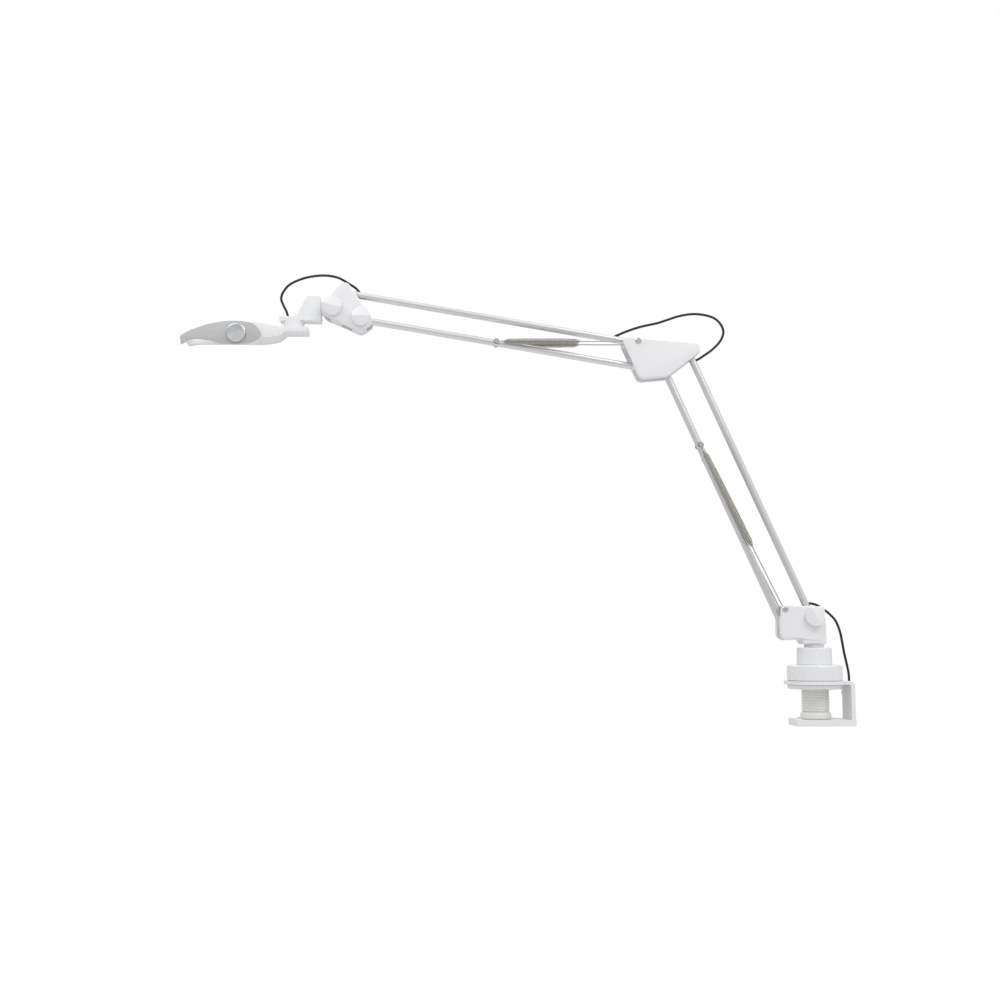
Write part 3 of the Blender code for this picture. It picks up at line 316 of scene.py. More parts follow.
def round_edges(thing, width, segments=2, angle=35.0):
    bevel = thing.modifiers.new("rounded_edges", "BEVEL")
    bevel.width = width * MM
    bevel.segments = segments
    bevel.limit_method = "ANGLE"
    bevel.angle_limit = math.radians(angle)
    return apply_modifiers(thing)


def box(name, x, y, z):
    """A box between the given pairs of coordinates."""
    bm = bmesh.new()
    bmesh.ops.create_cube(bm, size=1.0)
    size = Vector((x[1] - x[0], y[1] - y[0], z[1] - z[0])) * MM
    middle = Vector((x[0] + x[1], y[0] + y[1], z[0] + z[1])) * (MM / 2.0)
    bmesh.ops.scale(bm, vec=size, verts=bm.verts)
    mesh = bpy.data.meshes.new(name)
    bm.to_mesh(mesh)
    bm.free()
    thing = add_object(name, mesh)
    thing.location = middle
    return thing


def cylinder(name, radius, length, segments=64):
    """A cylinder about the local Z axis, centred on its middle."""
    bm = bmesh.new()
    bmesh.ops.create_cone(
        bm,
        cap_ends=True,
        segments=segments,
        radius1=radius * MM,
        radius2=radius * MM,
        depth=length * MM,
    )
    mesh = bpy.data.meshes.new(name)
    bm.to_mesh(mesh)
    bm.free()
    return add_object(name, mesh)


def lay_across(thing, at, y=0.0, side=-1):
    """Turns a piece's Z axis to -Y, or to +Y for side 1, and puts it at a point in (X, Z)."""
    thing.rotation_euler = (math.radians(-90.0 * side), 0.0, 0.0)
    thing.location = Vector((at[0], y, at[1])) * MM
    return thing


def cross_cylinder(name, at, radius, y_from, y_to, segments=64):
    """A cylinder along Y through a point of the (X, Z) plane."""
    thing = cylinder(name, radius, y_to - y_from, segments)
    return lay_across(thing, at, (y_from + y_to) / 2.0)


def upright_cylinder(name, radius, z_from, z_to, x=0.0, y=0.0, segments=96):
    thing = cylinder(name, radius, z_to - z_from, segments)
    thing.location = Vector((x, y, (z_from + z_to) / 2.0)) * MM
    return thing


def leaning_cylinder(name, start, angle, from_distance, to_distance, radius, segments=48):
    """A cylinder in the middle plane along the direction that lean() gives."""
    thing = cylinder(name, radius, to_distance - from_distance, segments)
    middle = lean(start, angle, (from_distance + to_distance) / 2.0)
    thing.rotation_euler = (0.0, math.radians(angle), 0.0)
    thing.location = Vector((middle[0], 0.0, middle[1])) * MM
    return thing


def turned(name, profile, steps=96):
    """A body turned about local Z. The profile runs down the outer side, top to bottom."""
    mesh = bpy.data.meshes.new(name)
    points = [(r * MM, 0.0, z * MM) for r, z in profile]
    closed = profile[0][0] > 0.0
    edges = [(i, i + 1) for i in range(len(points) - 1)]
    if closed:
        edges.append((len(points) - 1, 0))
    mesh.from_pydata(points, edges, [])
    thing = add_object(name, mesh)
    screw = thing.modifiers.new("turned", "SCREW")
    screw.steps = steps
    screw.render_steps = steps
    screw.use_merge_vertices = True
    screw.merge_threshold = 1e-5
    return apply_modifiers(thing)


def smooth_route(points, step):
    """Points about a step apart on a smooth Catmull-Rom curve through a route's own points."""
    knots = [Vector(p) for p in points]
    knots = [2 * knots[0] - knots[1]] + knots + [2 * knots[-1] - knots[-2]]
    fine = []
    for i in range(1, len(knots) - 2):
        a, b, c, d = knots[i - 1 : i + 3]
        for k in range(24):
            t = k / 24.0
            linear = 2 * b + (c - a) * t
            square = (2 * a - 5 * b + 4 * c - d) * t**2
            cube = (3 * b - a - 3 * c + d) * t**3
            fine.append((linear + square + cube) / 2.0)
    fine.append(knots[-2])
    length = sum((q - p).length for p, q in zip(fine, fine[1:]))
    count = max(2, round(length / step))
    spaced = [fine[0]]
    walked = 0.0
    for p, q in zip(fine, fine[1:]):
        piece = (q - p).length
        while len(spaced) < count and walked + piece >= len(spaced) * length / count:
            share = (len(spaced) * length / count - walked) / piece
            spaced.append(p.lerp(q, share))
        walked += piece
    spaced.append(fine[-1])
    return spaced


def rounded_outline(corners, steps=6):
    """Outline points from (x, z, radius) corners, with an arc at each corner that has a radius."""
    outline = []
    for i, (x, z, radius) in enumerate(corners):
        here = Vector((x, z))
        back = Vector(corners[i - 1][:2]) - here
        ahead = Vector(corners[(i + 1) % len(corners)][:2]) - here
        if radius <= 0.0:
            outline.append(here)
            continue
        half = back.angle(ahead) / 2.0
        trim = radius / math.tan(half)
        centre = here + (back.normalized() + ahead.normalized()).normalized() * (
            radius / math.sin(half)
        )
        start = here + back.normalized() * trim - centre
        end = here + ahead.normalized() * trim - centre
        turn = start.angle_signed(end)
        for k in range(steps + 1):
            outline.append(centre + Matrix.Rotation(-turn * k / steps, 2) @ start)
    return outline


def flat_curve(name, outline, half, fill="BOTH"):
    """A 2D curve in the (X, Z) plane, extruded along Y. Its front face looks towards -Y."""
    curve = bpy.data.curves.new(name, "CURVE")
    curve.dimensions = "2D"
    spline = curve.splines.new("POLY")
    spline.points.add(len(outline) - 1)
    for knot, p in zip(spline.points, outline):
        knot.co = (p[0] * MM, p[1] * MM, 0.0, 1.0)
    spline.use_cyclic_u = True
    curve.fill_mode = fill
    curve.extrude = half * MM
    thing = add_object(name, curve)
    thing.rotation_euler = (math.radians(90.0), 0.0, 0.0)
    bpy.context.view_layer.update()
    return thing


def slab(name, outline, y_from, y_to):
    """A flat piece with the outline, between two Y positions."""
    thing = as_mesh(flat_curve(name, outline, (y_to - y_from) / 2.0))
    thing.location.y = (y_from + y_to) / 2.0 * MM
    return thing


def smooth_outline(points, steps=3):
    """Outline points through (x, z, kind) knots: 's' is smooth, 'c' is a corner."""
    outline = []
    count = len(points)
    for i in range(count):
        a, b, c, d = (points[(i + k - 1) % count] for k in range(4))
        before = Vector(a[:2]) if b[2] == "s" else Vector(b[:2])
        after = Vector(d[:2]) if c[2] == "s" else Vector(c[:2])
        p, q = Vector(b[:2]), Vector(c[:2])
        for k in range(steps):
            t = k / steps
            linear = 2 * p + (q - before) * t
            square = (2 * before - 5 * p + 4 * q - after) * t**2
            cube = (3 * p - before - 3 * q + after) * t**3
            outline.append((linear + square + cube) / 2.0)
    return outline


def build_clamp_frame():
    """Upper plate, spine and lower jaw of the table clamp, bent from one piece."""
    strip = [
        (0.0, PLATE_TOP, 0.0),
        (SPINE_OUT, PLATE_TOP, 7.0),
        (SPINE_OUT, 0.0, 1.0),
        (SPINE_IN - 6.0, 0.0, 0.0),
        (SPINE_IN - 6.0, JAW_HIGH, 0.0),
        (SPINE_IN, JAW_HIGH, 0.0),
        (SPINE_IN, PLATE_LOW, 2.0),
        (0.0, PLATE_LOW, 0.0),
    ]
    frame = slab("clamp_frame", rounded_outline(strip), -SPINE_HALF, SPINE_HALF)
    plate = upright_cylinder("plate_disc", PLATE_R, PLATE_LOW, PLATE_TOP, segments=128)
    jaw = box("jaw", (JAW_LEFT, SPINE_OUT), (-JAW_HALF, JAW_HALF), (0.0, JAW_HIGH))
    join(frame, plate, jaw)
    bore = upright_cylinder("plate_bore", THREAD_R + 0.5, PLATE_LOW - 5, PLATE_TOP + 5)
    cut(frame, bore)
    round_edges(frame, 1.0, 4, 50.0)
    return finished(frame)


def build_clamp_nut():
    """Threaded disc under the upper plate; its underside is slightly dished."""
    bore = THREAD_R + GAP
    profile = [
        (bore, PLATE_LOW - GAP),
        (NUT_DISC_R - 1.0, PLATE_LOW - GAP),
        (NUT_DISC_R, PLATE_LOW - GAP - 1.0),
        (NUT_DISC_R - 1.2, NUT_DISC_LOW + 0.8),
        (NUT_DISC_R - 4.0, NUT_DISC_LOW),
        (bore, NUT_DISC_LOW + 1.6),
    ]
    return finished(turned("clamp_nut", profile))


def build_screw_foot():
    """Foot pad under the screw that presses on the table."""
    low = JAW_HIGH + GAP
    profile = [
        (SPIGOT_R + GAP, THREAD_LOW - GAP),
        (THREAD_R - 0.5, THREAD_LOW - GAP),
        (FOOT_R - 1.0, THREAD_LOW - 1.8),
        (FOOT_R, THREAD_LOW - 4.0),
        (FOOT_R, low + 1.2),
        (FOOT_R - 1.2, low),
        (SPIGOT_R + GAP, low),
    ]
    return finished(turned("screw_foot", profile))


def build_post_sleeve():
    """Sleeve above the ring; its spigot runs down the hollow screw to the foot pad."""
    profile = [
        (0.0, SLEEVE_TOP),
        (SLEEVE_R - 1.0, SLEEVE_TOP),
        (SLEEVE_R, SLEEVE_TOP - 1.4),
        (SLEEVE_R + 0.5, RING_TOP + GAP),
        (SPIGOT_R, RING_TOP + GAP),
        (SPIGOT_R, JAW_HIGH + 1.0),
        (0.0, JAW_HIGH + 1.0),
    ]
    sleeve = turned("post_sleeve", profile)
    bore = upright_cylinder("post_bore", SPINDLE_R + GAP, POST_BORE_BOTTOM, SLEEVE_TOP + 5)
    cut(sleeve, bore)
    return finished(sleeve)


def tray(name, outline, side):
    """Half of a hollow cover: a face at the outside and walls that reach the middle plane.

    side is -1 for the half that faces -Y and 1 for the other.
    """
    half = (COVER_HALF - GAP / 2.0) / 2.0
    thing = as_mesh(flat_curve(name, outline, half, "FRONT"))
    point_outwards(thing)
    solidify = thing.modifiers.new("skin", "SOLIDIFY")
    solidify.thickness = COVER_SKIN * MM
    solidify.offset = -1.0
    solidify.use_even_offset = True
    apply_modifiers(thing)
    round_face(thing, 1.8)
    if side > 0:
        mirror_thickness(thing)
    thing.location.y = side * (half + GAP / 2.0) * MM
    return thing


def point_outwards(thing):
    """Makes an open tray's faces point away from its hollow, with its big face at local +Z."""
    bm = bmesh.new()
    bm.from_mesh(thing.data)
    big = max(bm.faces, key=lambda face: face.calc_area())
    if big.calc_center_median().z < 0.0:
        bmesh.ops.scale(bm, vec=(1.0, 1.0, -1.0), verts=bm.verts)
        bmesh.ops.reverse_faces(bm, faces=bm.faces)
    if big.normal.z < 0.0:
        bmesh.ops.reverse_faces(bm, faces=bm.faces)
    bm.to_mesh(thing.data)
    bm.free()


def round_face(thing, width):
    """Rounds the edge around a tray's outer face."""
    bm = bmesh.new()
    bm.from_mesh(thing.data)
    top = max(v.co.z for v in bm.verts)
    rim = [e for e in bm.edges if min(v.co.z for v in e.verts) > top - 1e-6]
    rim = [e for e in rim if e.calc_face_angle(0.0) > 1.0]
    bmesh.ops.bevel(bm, geom=rim, offset=width * MM, segments=3, affect="EDGES", profile=0.5)
    bm.to_mesh(thing.data)
    bm.free()


def mirror_thickness(thing):
    """Mirrors a piece along its local Z."""
    bm = bmesh.new()
    bm.from_mesh(thing.data)
    bmesh.ops.scale(bm, vec=(1.0, 1.0, -1.0), verts=bm.verts)
    bmesh.ops.reverse_faces(bm, faces=bm.faces)
    bm.to_mesh(thing.data)
    bm.free()


def boss(name, at, side):
    """Post inside a cover that holds the end of a pivot pin."""
    near = side * SLOT_HALF
    far = side * (COVER_INSIDE + 0.5)
    return cross_cylinder(name, at, PIN_R + 2.2, min(near, far), max(near, far), 48)


def pin_hole(name, at, radius, side, through):
    near = side * (SLOT_HALF - 2.0)
    far = side * (COVER_HALF + 3.0 if through else COVER_INSIDE - 0.2)
    return cross_cylinder(name, at, radius, min(near, far), max(near, far), 48)


SHOULDER_OUTLINE = rounded_outline(
    [
        (-50.2, 167.0, 6.0),
        (-50.6, 118.2, 10.0),
        (-21.0, 118.6, 2.0),
        (-18.0, 113.1, 3.0),
        (13.9, 113.1, 3.0),
        (12.0, 165.2, 3.0),
    ]
)
ELBOW_OUTLINE = rounded_outline(
    [
        (R1[0] - 25.0, R1[1] + 6.0, 6.0),
        (R1[0] + 2.0, R1[1] - 55.0, 9.0),
        (R1[0] + 42.0, R1[1] - 51.0, 8.0),
        (R1[0] + 89.0, R1[1] - 15.0, 4.0),
        (R1[0] + 86.0, R1[1] - 3.0, 4.0),
    ]
)
WRIST_OUTLINE = rounded_outline(
    [
        (S1[0] - 3.0, S1[1] + 18.0, 9.0),
        (TILT[0] - 23.0, TILT[1] - 7.5, 12.0),
        (S2[0] - 1.0, S2[1] - 20.5, 10.0),
        (S2[0] + 19.0, S2[1] - 7.0, 9.0),
    ],
    5,
)


def build_shoulder_cover(side):
    name = "shoulder_cover_front" if side < 0 else "shoulder_cover_rear"
    cover = tray(name, SHOULDER_OUTLINE, side)
    swing = SLOT_HALF
    slots = [
        box("shoulder_top_slot", (-60.0, 20.0), (-swing, swing), (156.0, 175.0)),
        box("shoulder_side_slot", (-60.0, -30.0), (-swing, swing), (114.0, 175.0)),
        box("shoulder_hook_slot", (-60.0, -24.0), (-COVER_INSIDE, COVER_INSIDE), (152.0, 175.0)),
        upright_cylinder("spindle_slot", SPINDLE_R + 4.0, 105.0, 120.0),
    ]
    join(cover, boss("shoulder_boss", P1, side))
    cut(cover, *slots)
    cut(cover, pin_hole("shoulder_pin_hole", P1, PIN_R + GAP, side, False))
    cut(cover, pin_hole("shoulder_stud_hole", P2, STUD_R + GAP, side, True))
    cut(cover, pin_hole("spring_screw_hole", SPRING_SCREW, PIN_R + GAP, side, True))
    return finished(cover)


def build_elbow_cover(side):
    name = "elbow_cover_front" if side < 0 else "elbow_cover_rear"
    cover = tray(name, ELBOW_OUTLINE, side)
    x, z = R1
    low, high = z - 70.0, z + 20.0
    join(cover, *(boss(f"elbow_boss_{i}", at, side) for i, at in enumerate((Q1, Q2, R2))))
    cut(cover, box("elbow_slot", (x - 40, x + 100), (-SLOT_HALF, SLOT_HALF), (low, high)))
    hooks = box("elbow_hook_slot", (x - 40, x + 7), (-COVER_INSIDE, COVER_INSIDE), (z - 33, high))
    cut(cover, hooks)
    for i, at in enumerate((Q1, Q2, R2)):
        cut(cover, pin_hole(f"elbow_pin_hole_{i}", at, PIN_R + GAP, side, False))
    cut(cover, pin_hole("elbow_screw_hole", R1, PIN_R + GAP, side, True))
    return finished(cover)


def build_wrist_plate(side):
    name = "wrist_plate_front" if side < 0 else "wrist_plate_rear"
    cover = tray(name, WRIST_OUTLINE, side)
    arm_span = (S1[0] - 8.0, S2[0] + 40.0)
    arm_height = (S2[1] - 15.0, S2[1] + 80.0)
    join(cover, boss("wrist_boss", S1, side))
    slots = [
        box("wrist_arm_slot", arm_span, (-SLOT_HALF, SLOT_HALF), arm_height),
        box(
            "wrist_tongue_slot",
            (TILT[0] - 40, TILT[0] + 2),
            (-COVER_INSIDE, COVER_INSIDE),
            (TILT[1] - 16, TILT[1] + 17),
        ),
    ]
    cut(cover, *slots)
    cut(cover, pin_hole("wrist_pin_hole", S1, PIN_R + GAP, side, False))
    cut(cover, pin_hole("wrist_stud_hole", S2, STUD_R + GAP, side, True))
    cut(cover, pin_hole("tilt_stud_hole", TILT, STUD_R + GAP, side, True))
    return finished(cover)


def build_pin(name, at, half=COVER_INSIDE - 0.5):
    return finished(cross_cylinder(name, at, PIN_R, -half, half, 48))


def screw_head(low):
    """Profile of a low domed head above a pivot screw's shank."""
    return [(0.0, low + 1.8), (2.6, low + 1.8), (4.0, low + 0.9), (4.0, low), (PIN_R, low)]


def build_elbow_screw():
    """Pivot of the top tube; its ends are screw heads and the upper springs hook on it."""
    head_low = COVER_HALF + GAP
    head = screw_head(head_low)
    profile = head + [(r, -z) for r, z in reversed(head)]
    return finished(lay_across(turned("elbow_screw", profile), R1))


def build_spring_screw(side):
    """Short screw in one shoulder cover; the tubes swing between it and its twin."""
    name = "spring_screw_front" if side < 0 else "spring_screw_rear"
    head_low = COVER_HALF + GAP
    profile = screw_head(head_low) + [(PIN_R, 7.2), (0.0, 7.2)]
    return finished(lay_across(turned(name, profile), SPRING_SCREW, side=side))


def build_knob(name, at, ridge_angle):
    """Wedge-faced clamping knob on the front, with the stud moulded into it."""
    back = -(COVER_HALF + GAP)
    knob = cross_cylinder(name, at, KNOB_R, back - KNOB_HIGH, back, 96)
    wedge = [
        (-KNOB_R - 2, KNOB_LOW - 9),
        (KNOB_R + 2, KNOB_LOW - 9),
        (KNOB_R + 2, KNOB_LOW),
        (0.0, KNOB_HIGH),
        (-KNOB_R - 2, KNOB_LOW),
    ]
    roof = slab(name + "_roof", wedge, -KNOB_R - 2, KNOB_R + 2)
    turn = Matrix.Rotation(math.radians(ridge_angle), 4, "Y")
    upright = Matrix.Rotation(math.radians(90.0), 4, "X")
    place = Matrix.Translation(Vector((at[0], back, at[1])) * MM)
    roof.matrix_world = place @ turn @ upright @ roof.matrix_world
    combine(knob, roof, "INTERSECT")
    round_edges(knob, 0.9, 4, 25.0)
    stud_end = COVER_HALF + 7.0
    join(knob, cross_cylinder("stud", at, STUD_R, back - 1.0, stud_end, 48))
    return finished(knob)


def build_knob_nut(name, at):
    """Hexagon nut on the rear end of a knob's stud."""
    near = COVER_HALF + GAP
    nut = cross_cylinder(name, at, NUT_R, near, near + 5.0, 6)
    bore = cross_cylinder(name + "_bore", at, STUD_R + GAP, near - 2, near + 8, 48)
    cut(nut, bore)
    return finished(nut, 20.0)


def build_tube(name, pivot, angle, cable_ends=(), pin_hole_at=None):
    """Hollow tube between two pivots, with holes for cable ends and for the spring pin."""
    length = ARM_LENGTH - 2 * TUBE_START
    inner = TUBE_R - TUBE_WALL
    profile = [(inner, length), (TUBE_R, length), (TUBE_R, 0.0), (inner, 0.0)]
    tube = turned(name, profile)
    start = lean(pivot, angle, TUBE_START)
    tube.rotation_euler = (0.0, math.radians(angle), 0.0)
    tube.location = Vector((start[0], 0.0, start[1])) * MM
    for end in cable_ends:
        cut(tube, cable_bore(name + "_cable_hole", end))
    if pin_hole_at is not None:
        radius = SPRING_PIN_R + GAP
        cut(tube, cross_cylinder(name + "_pin_hole", pin_hole_at, radius, -9.0, 9.0, 32))
    return finished(tube)


def build_eye(name, pivot, angle):
    """End eye of a tube: a cross bush for the pin and a plug inside the tube."""
    eye = cross_cylinder(name, pivot, EYE_R, -EYE_HALF, EYE_HALF, 48)
    plug_r = TUBE_R - TUBE_WALL - GAP
    plug = leaning_cylinder("plug", pivot, angle, 2.0, TUBE_START + 4.0, plug_r, 32)
    join(eye, plug)
    cut(eye, cross_cylinder(name + "_bore", pivot, STUD_R + GAP, -9.0, 9.0, 32))
    return finished(eye)


def build_spring_pin(name, at):
    """Cross pin through a tube with grooved ends that the springs hook on."""
    half = SPRING_Y + 2.6
    profile = [(0.0, half), (2.2, half), (2.8, half - 0.6), (2.8, half - 1.2)]
    profile += [(SPRING_PIN_R, SPRING_Y + 1.1), (SPRING_PIN_R, -SPRING_Y - 1.1)]
    profile += [(2.8, -half + 1.2), (2.8, -half + 0.6), (2.2, -half), (0.0, -half)]
    return finished(lay_across(turned(name, profile), at))


ELBOW_ROUTE = [
    (-283.0, 0.0, 547.6),
    (-277.0, 0.0, 550.6),
    (-259.5, 0.0, 558.2),
    (-240.1, 0.0, 564.8),
    (-215.7, 0.0, 570.5),
    (-205.3, 0.0, 573.9),
    (-181.9, 0.0, 581.6),
    (-158.8, 0.0, 584.3),
    (-136.9, 0.0, 580.1),
    (-125.3, 0.0, 571.4),
    (-120.3, 0.0, 558.8),
    (-124.9, 0.0, 545.4),
    (-137.0, 0.0, 532.4),
    (-148.0, 0.0, 524.4),
    (-155.6, 0.0, 519.2),
    (-162.8, 0.0, 515.4),
]
WRIST_ROUTE = [
    (-741.9, 0.0, 570.6),
    (-742.6, 0.0, 575.0),
    (-744.4, 0.0, 582.0),
    (-749.5, 0.0, 592.5),
    (-752.6, 0.0, 602.3),
    (-748.7, 0.0, 613.2),
    (-739.5, 0.0, 623.1),
    (-721.9, 0.0, 631.2),
    (-703.2, 0.0, 635.2),
    (-686.7, 0.0, 635.6),
    (-671.4, 0.0, 632.4),
    (-657.5, 0.0, 624.6),
    (-646.2, 0.0, 617.0),
    (-638.0, 0.0, 607.0),
]
LEAD_ROUTE = [
    (-9.6, 0.0, 168.6),
    (-4.6, 0.0, 169.9),
    (3.5, 0.0, 168.2),
    (13.3, 0.0, 162.6),
    (24.0, 0.0, 154.0),
    (32.0, 0.2, 144.6),
    (37.6, 1.0, 130.0),
    (40.8, 3.0, 116.0),
    (44.4, 6.5, 100.0),
    (49.6, 13.0, 84.0),
    (54.2, 20.6, 70.0),
    (55.6, 25.2, 58.0),
    (54.6, 26.6, 46.0),
    (54.0, 26.6, 32.0),
    (54.3, 27.4, 18.0),
    (54.6, 30.6, 8.4),
    (54.4, 36.6, 3.4),
    (53.2, 44.0, 2.1),
    (51.4, 51.0, 2.0),
    (50.7, 57.0, 2.0),
]

CABLES = {
    "elbow_cable": smooth_route(ELBOW_ROUTE, 8.0),
    "wrist_cable": smooth_route(WRIST_ROUTE, 8.0),
    "power_lead": smooth_route(LEAD_ROUTE, 8.0),
}


def cable_bore(name, points):
    """Cutter a little wider than the cable along some of its points, and a little longer."""
    start = points[0] + (points[0] - points[1]).normalized() * 0.6
    end = points[-1] + (points[-1] - points[-2]).normalized() * 0.6
    return tube_along(name, [start] + points + [end], CABLE_R + GAP)


def build_swivel_block():
    """Block between the shoulder covers, with the spindle that turns in the post sleeve."""
    block = box("swivel_block", (-14.8, 10.2), (-14.7, 14.7), (115.9, 135.0))
    round_edges(block, 0.8, 3)
    collar_low = SLEEVE_TOP + GAP
    profile = [
        (0.0, 118.0),
        (SPINDLE_R + 3.4, 118.0),
        (SPINDLE_R + 3.4, 112.8),
        (SPINDLE_R + 8.0, 112.8),
        (SPINDLE_R + 8.0, collar_low),
        (SPINDLE_R, collar_low),
        (SPINDLE_R, POST_BORE_BOTTOM + 0.4),
        (0.0, POST_BORE_BOTTOM + 0.4),
    ]
    join(block, turned("spindle", profile))
    return finished(block)


def build_lead_clip():
    """Clip on the spine's rear edge that holds the lead."""
    clip = box("lead_clip", (45.5, 58.0), (SPINE_HALF + GAP, SPINE_HALF + 8.0), (42.0, 50.0))
    round_edges(clip, 1.0, 4)
    run = [p for p in CABLES["power_lead"] if 30.0 < p[2] < 62.0]
    cut(clip, cable_bore("lead_clip_bore", run))
    return finished(clip)


def upright_slab(name, outline, z_from, z_to):
    """A block with the outline in plan (X, Y), between two heights."""
    thing = flat_curve(name, outline, (z_to - z_from) / 2.0)
    thing.rotation_euler = (0.0, 0.0, 0.0)
    bpy.context.view_layer.update()
    thing = as_mesh(thing)
    thing.location.z = (z_from + z_to) / 2.0 * MM
    return thing


HEAD_TOP = [
    (-888.6, 541.5, "c"),
    (-879.0, 546.2, "s"),
    (-869.0, 550.8, "s"),
    (-849.0, 557.6, "s"),
    (-827.0, 561.6, "s"),
    (-809.6, 562.2, "s"),
    (-792.0, 561.3, "s"),
    (-772.0, 559.6, "s"),
]
HEAD_OUTLINE = smooth_outline(
    HEAD_TOP
    + [
        (-752.0, NECK_TOP, "c"),
        (NECK_END, NECK_TOP, "c"),
        (NECK_END, NECK_LOW, "c"),
        (-744.6, NECK_LOW, "c"),
        (-753.0, 543.8, "s"),
        (-768.0, 540.8, "s"),
        (-785.0, UNDERSIDE, "c"),
        (-850.0, UNDERSIDE, "c"),
        (-872.0, 539.6, "s"),
        (-886.0, 537.4, "c"),
    ]
)
PANEL_END = [
    (-793.2, 560.4, "s"),
    (-785.4, 556.8, "s"),
    (-779.0, 549.6, "s"),
    (-777.0, 543.6, "s"),
    (-780.0, 538.0, "s"),
    (-788.0, 532.6, "s"),
]
FRONT_PANEL_OUTLINE = smooth_outline(
    [(-888.4, 540.6, "c")]
    + HEAD_TOP[1:6]
    + PANEL_END
    + [
        (-798.1, 530.4, "s"),
        (-812.0, 529.5, "s"),
        (-827.2, 529.8, "s"),
        (-837.0, 531.2, "s"),
        (-848.0, 534.6, "s"),
        (-860.0, 536.2, "s"),
        (-870.4, 536.2, "s"),
        (-878.6, 533.6, "s"),
        (-884.6, 529.6, "s"),
        (-887.2, 528.6, "c"),
    ]
)
REAR_PANEL_OUTLINE = smooth_outline(
    [(-887.6, 540.9, "c")]
    + HEAD_TOP[1:6]
    + PANEL_END[:4]
    + [
        (-781.0, UNDERSIDE + 0.5, "c"),
        (-850.0, UNDERSIDE + 0.5, "c"),
        (-872.0, 540.1, "s"),
        (-885.4, 538.0, "c"),
    ]
)
HEAD_PLAN = [
    (-895.0, -HEAD_HALF + 3.0, 0.0),
    (-886.0, -HEAD_HALF, 3.0),
    (-772.0, -HEAD_HALF, 12.0),
    (-748.0, -NECK_HALF, 8.0),
    (NECK_END + 0.1, -NECK_HALF, 4.0),
    (NECK_END + 0.1, NECK_HALF, 4.0),
    (-748.0, NECK_HALF, 8.0),
    (-772.0, HEAD_HALF, 12.0),
    (-886.0, HEAD_HALF, 3.0),
    (-895.0, HEAD_HALF - 3.0, 0.0),
]
LOOP_PLAN = [
    (-880.0, -LOOP_HALF, 7.0),
    (-849.0, -LOOP_HALF, 7.0),
    (-849.0, LOOP_HALF, 7.0),
    (-880.0, LOOP_HALF, 7.0),
]
HEAD_CUT = (520.0, 580.0)  # heights that cutters through the whole head run between
RECESS = ((-842.0, -782.0), (-20.0, 20.0), (UNDERSIDE - 4.0, UNDERSIDE + 8.0))


def build_head_shell():
    """Head with its neck plate, finger hole and the recess for the light."""
    shell = slab("head_shell", HEAD_OUTLINE, -HEAD_HALF - 5.0, HEAD_HALF + 5.0)
    plan = upright_slab("head_plan", rounded_outline(HEAD_PLAN), *HEAD_CUT)
    combine(shell, plan, "INTERSECT")
    cut(shell, upright_slab("finger_hole", rounded_outline(LOOP_PLAN), *HEAD_CUT))
    round_edges(shell, 1.0, 3, 45.0)
    cut(shell, box("light_recess", *RECESS))
    pin_low = NECK_LOW + 1.4
    cut(shell, upright_cylinder("head_pin_hole", SWIVEL_PIN_R + GAP, pin_low, 565.0, SWIVEL_X))
    return finished(shell)


def build_side_panel(side):
    name = "side_panel_front" if side < 0 else "side_panel_rear"
    outline = FRONT_PANEL_OUTLINE if side < 0 else REAR_PANEL_OUTLINE
    near = side * (HEAD_HALF + GAP)
    far = side * (HEAD_HALF + GAP + PANEL_THICK)
    panel = slab(name, outline, min(near, far), max(near, far))
    round_edges(panel, 0.7, 4, 45.0)
    if side < 0:
        hole = cross_cylinder("dial_hole", DIAL_AT, STUD_R + GAP, far - 3.0, near + 3.0, 48)
        cut(panel, hole)
    return finished(panel)


def build_diffuser():
    """Thin sheet that closes the light's recess."""
    x, y, _ = RECESS
    edge = 0.4
    span = ((x[0] + edge, x[1] - edge), (y[0] + edge, y[1] - edge))
    diffuser = box("diffuser", *span, (UNDERSIDE - 0.2, UNDERSIDE + 2.0))
    round_edges(diffuser, 0.4, 3)
    return finished(diffuser)


SPOT_HALF = 1.5  # half width of one light spot


def build_led_board():
    """Light board at the bottom of the recess, with its rows of light spots."""
    x, y, z = RECESS
    top = z[1] - GAP
    board = box("led_board", (x[0] + 2, x[1] - 2), (y[0] + 2, y[1] - 2), (top - 1.6, top))
    for row in range(3):
        for column in range(7):
            at_x = x[0] + 6.0 + column * 8.0
            at_y = -12.0 + row * 12.0
            span = ((at_x - SPOT_HALF, at_x + SPOT_HALF), (at_y - SPOT_HALF, at_y + SPOT_HALF))
            join(board, box("spot", *span, (top - 2.4, top - 1)))
    return finished(board)


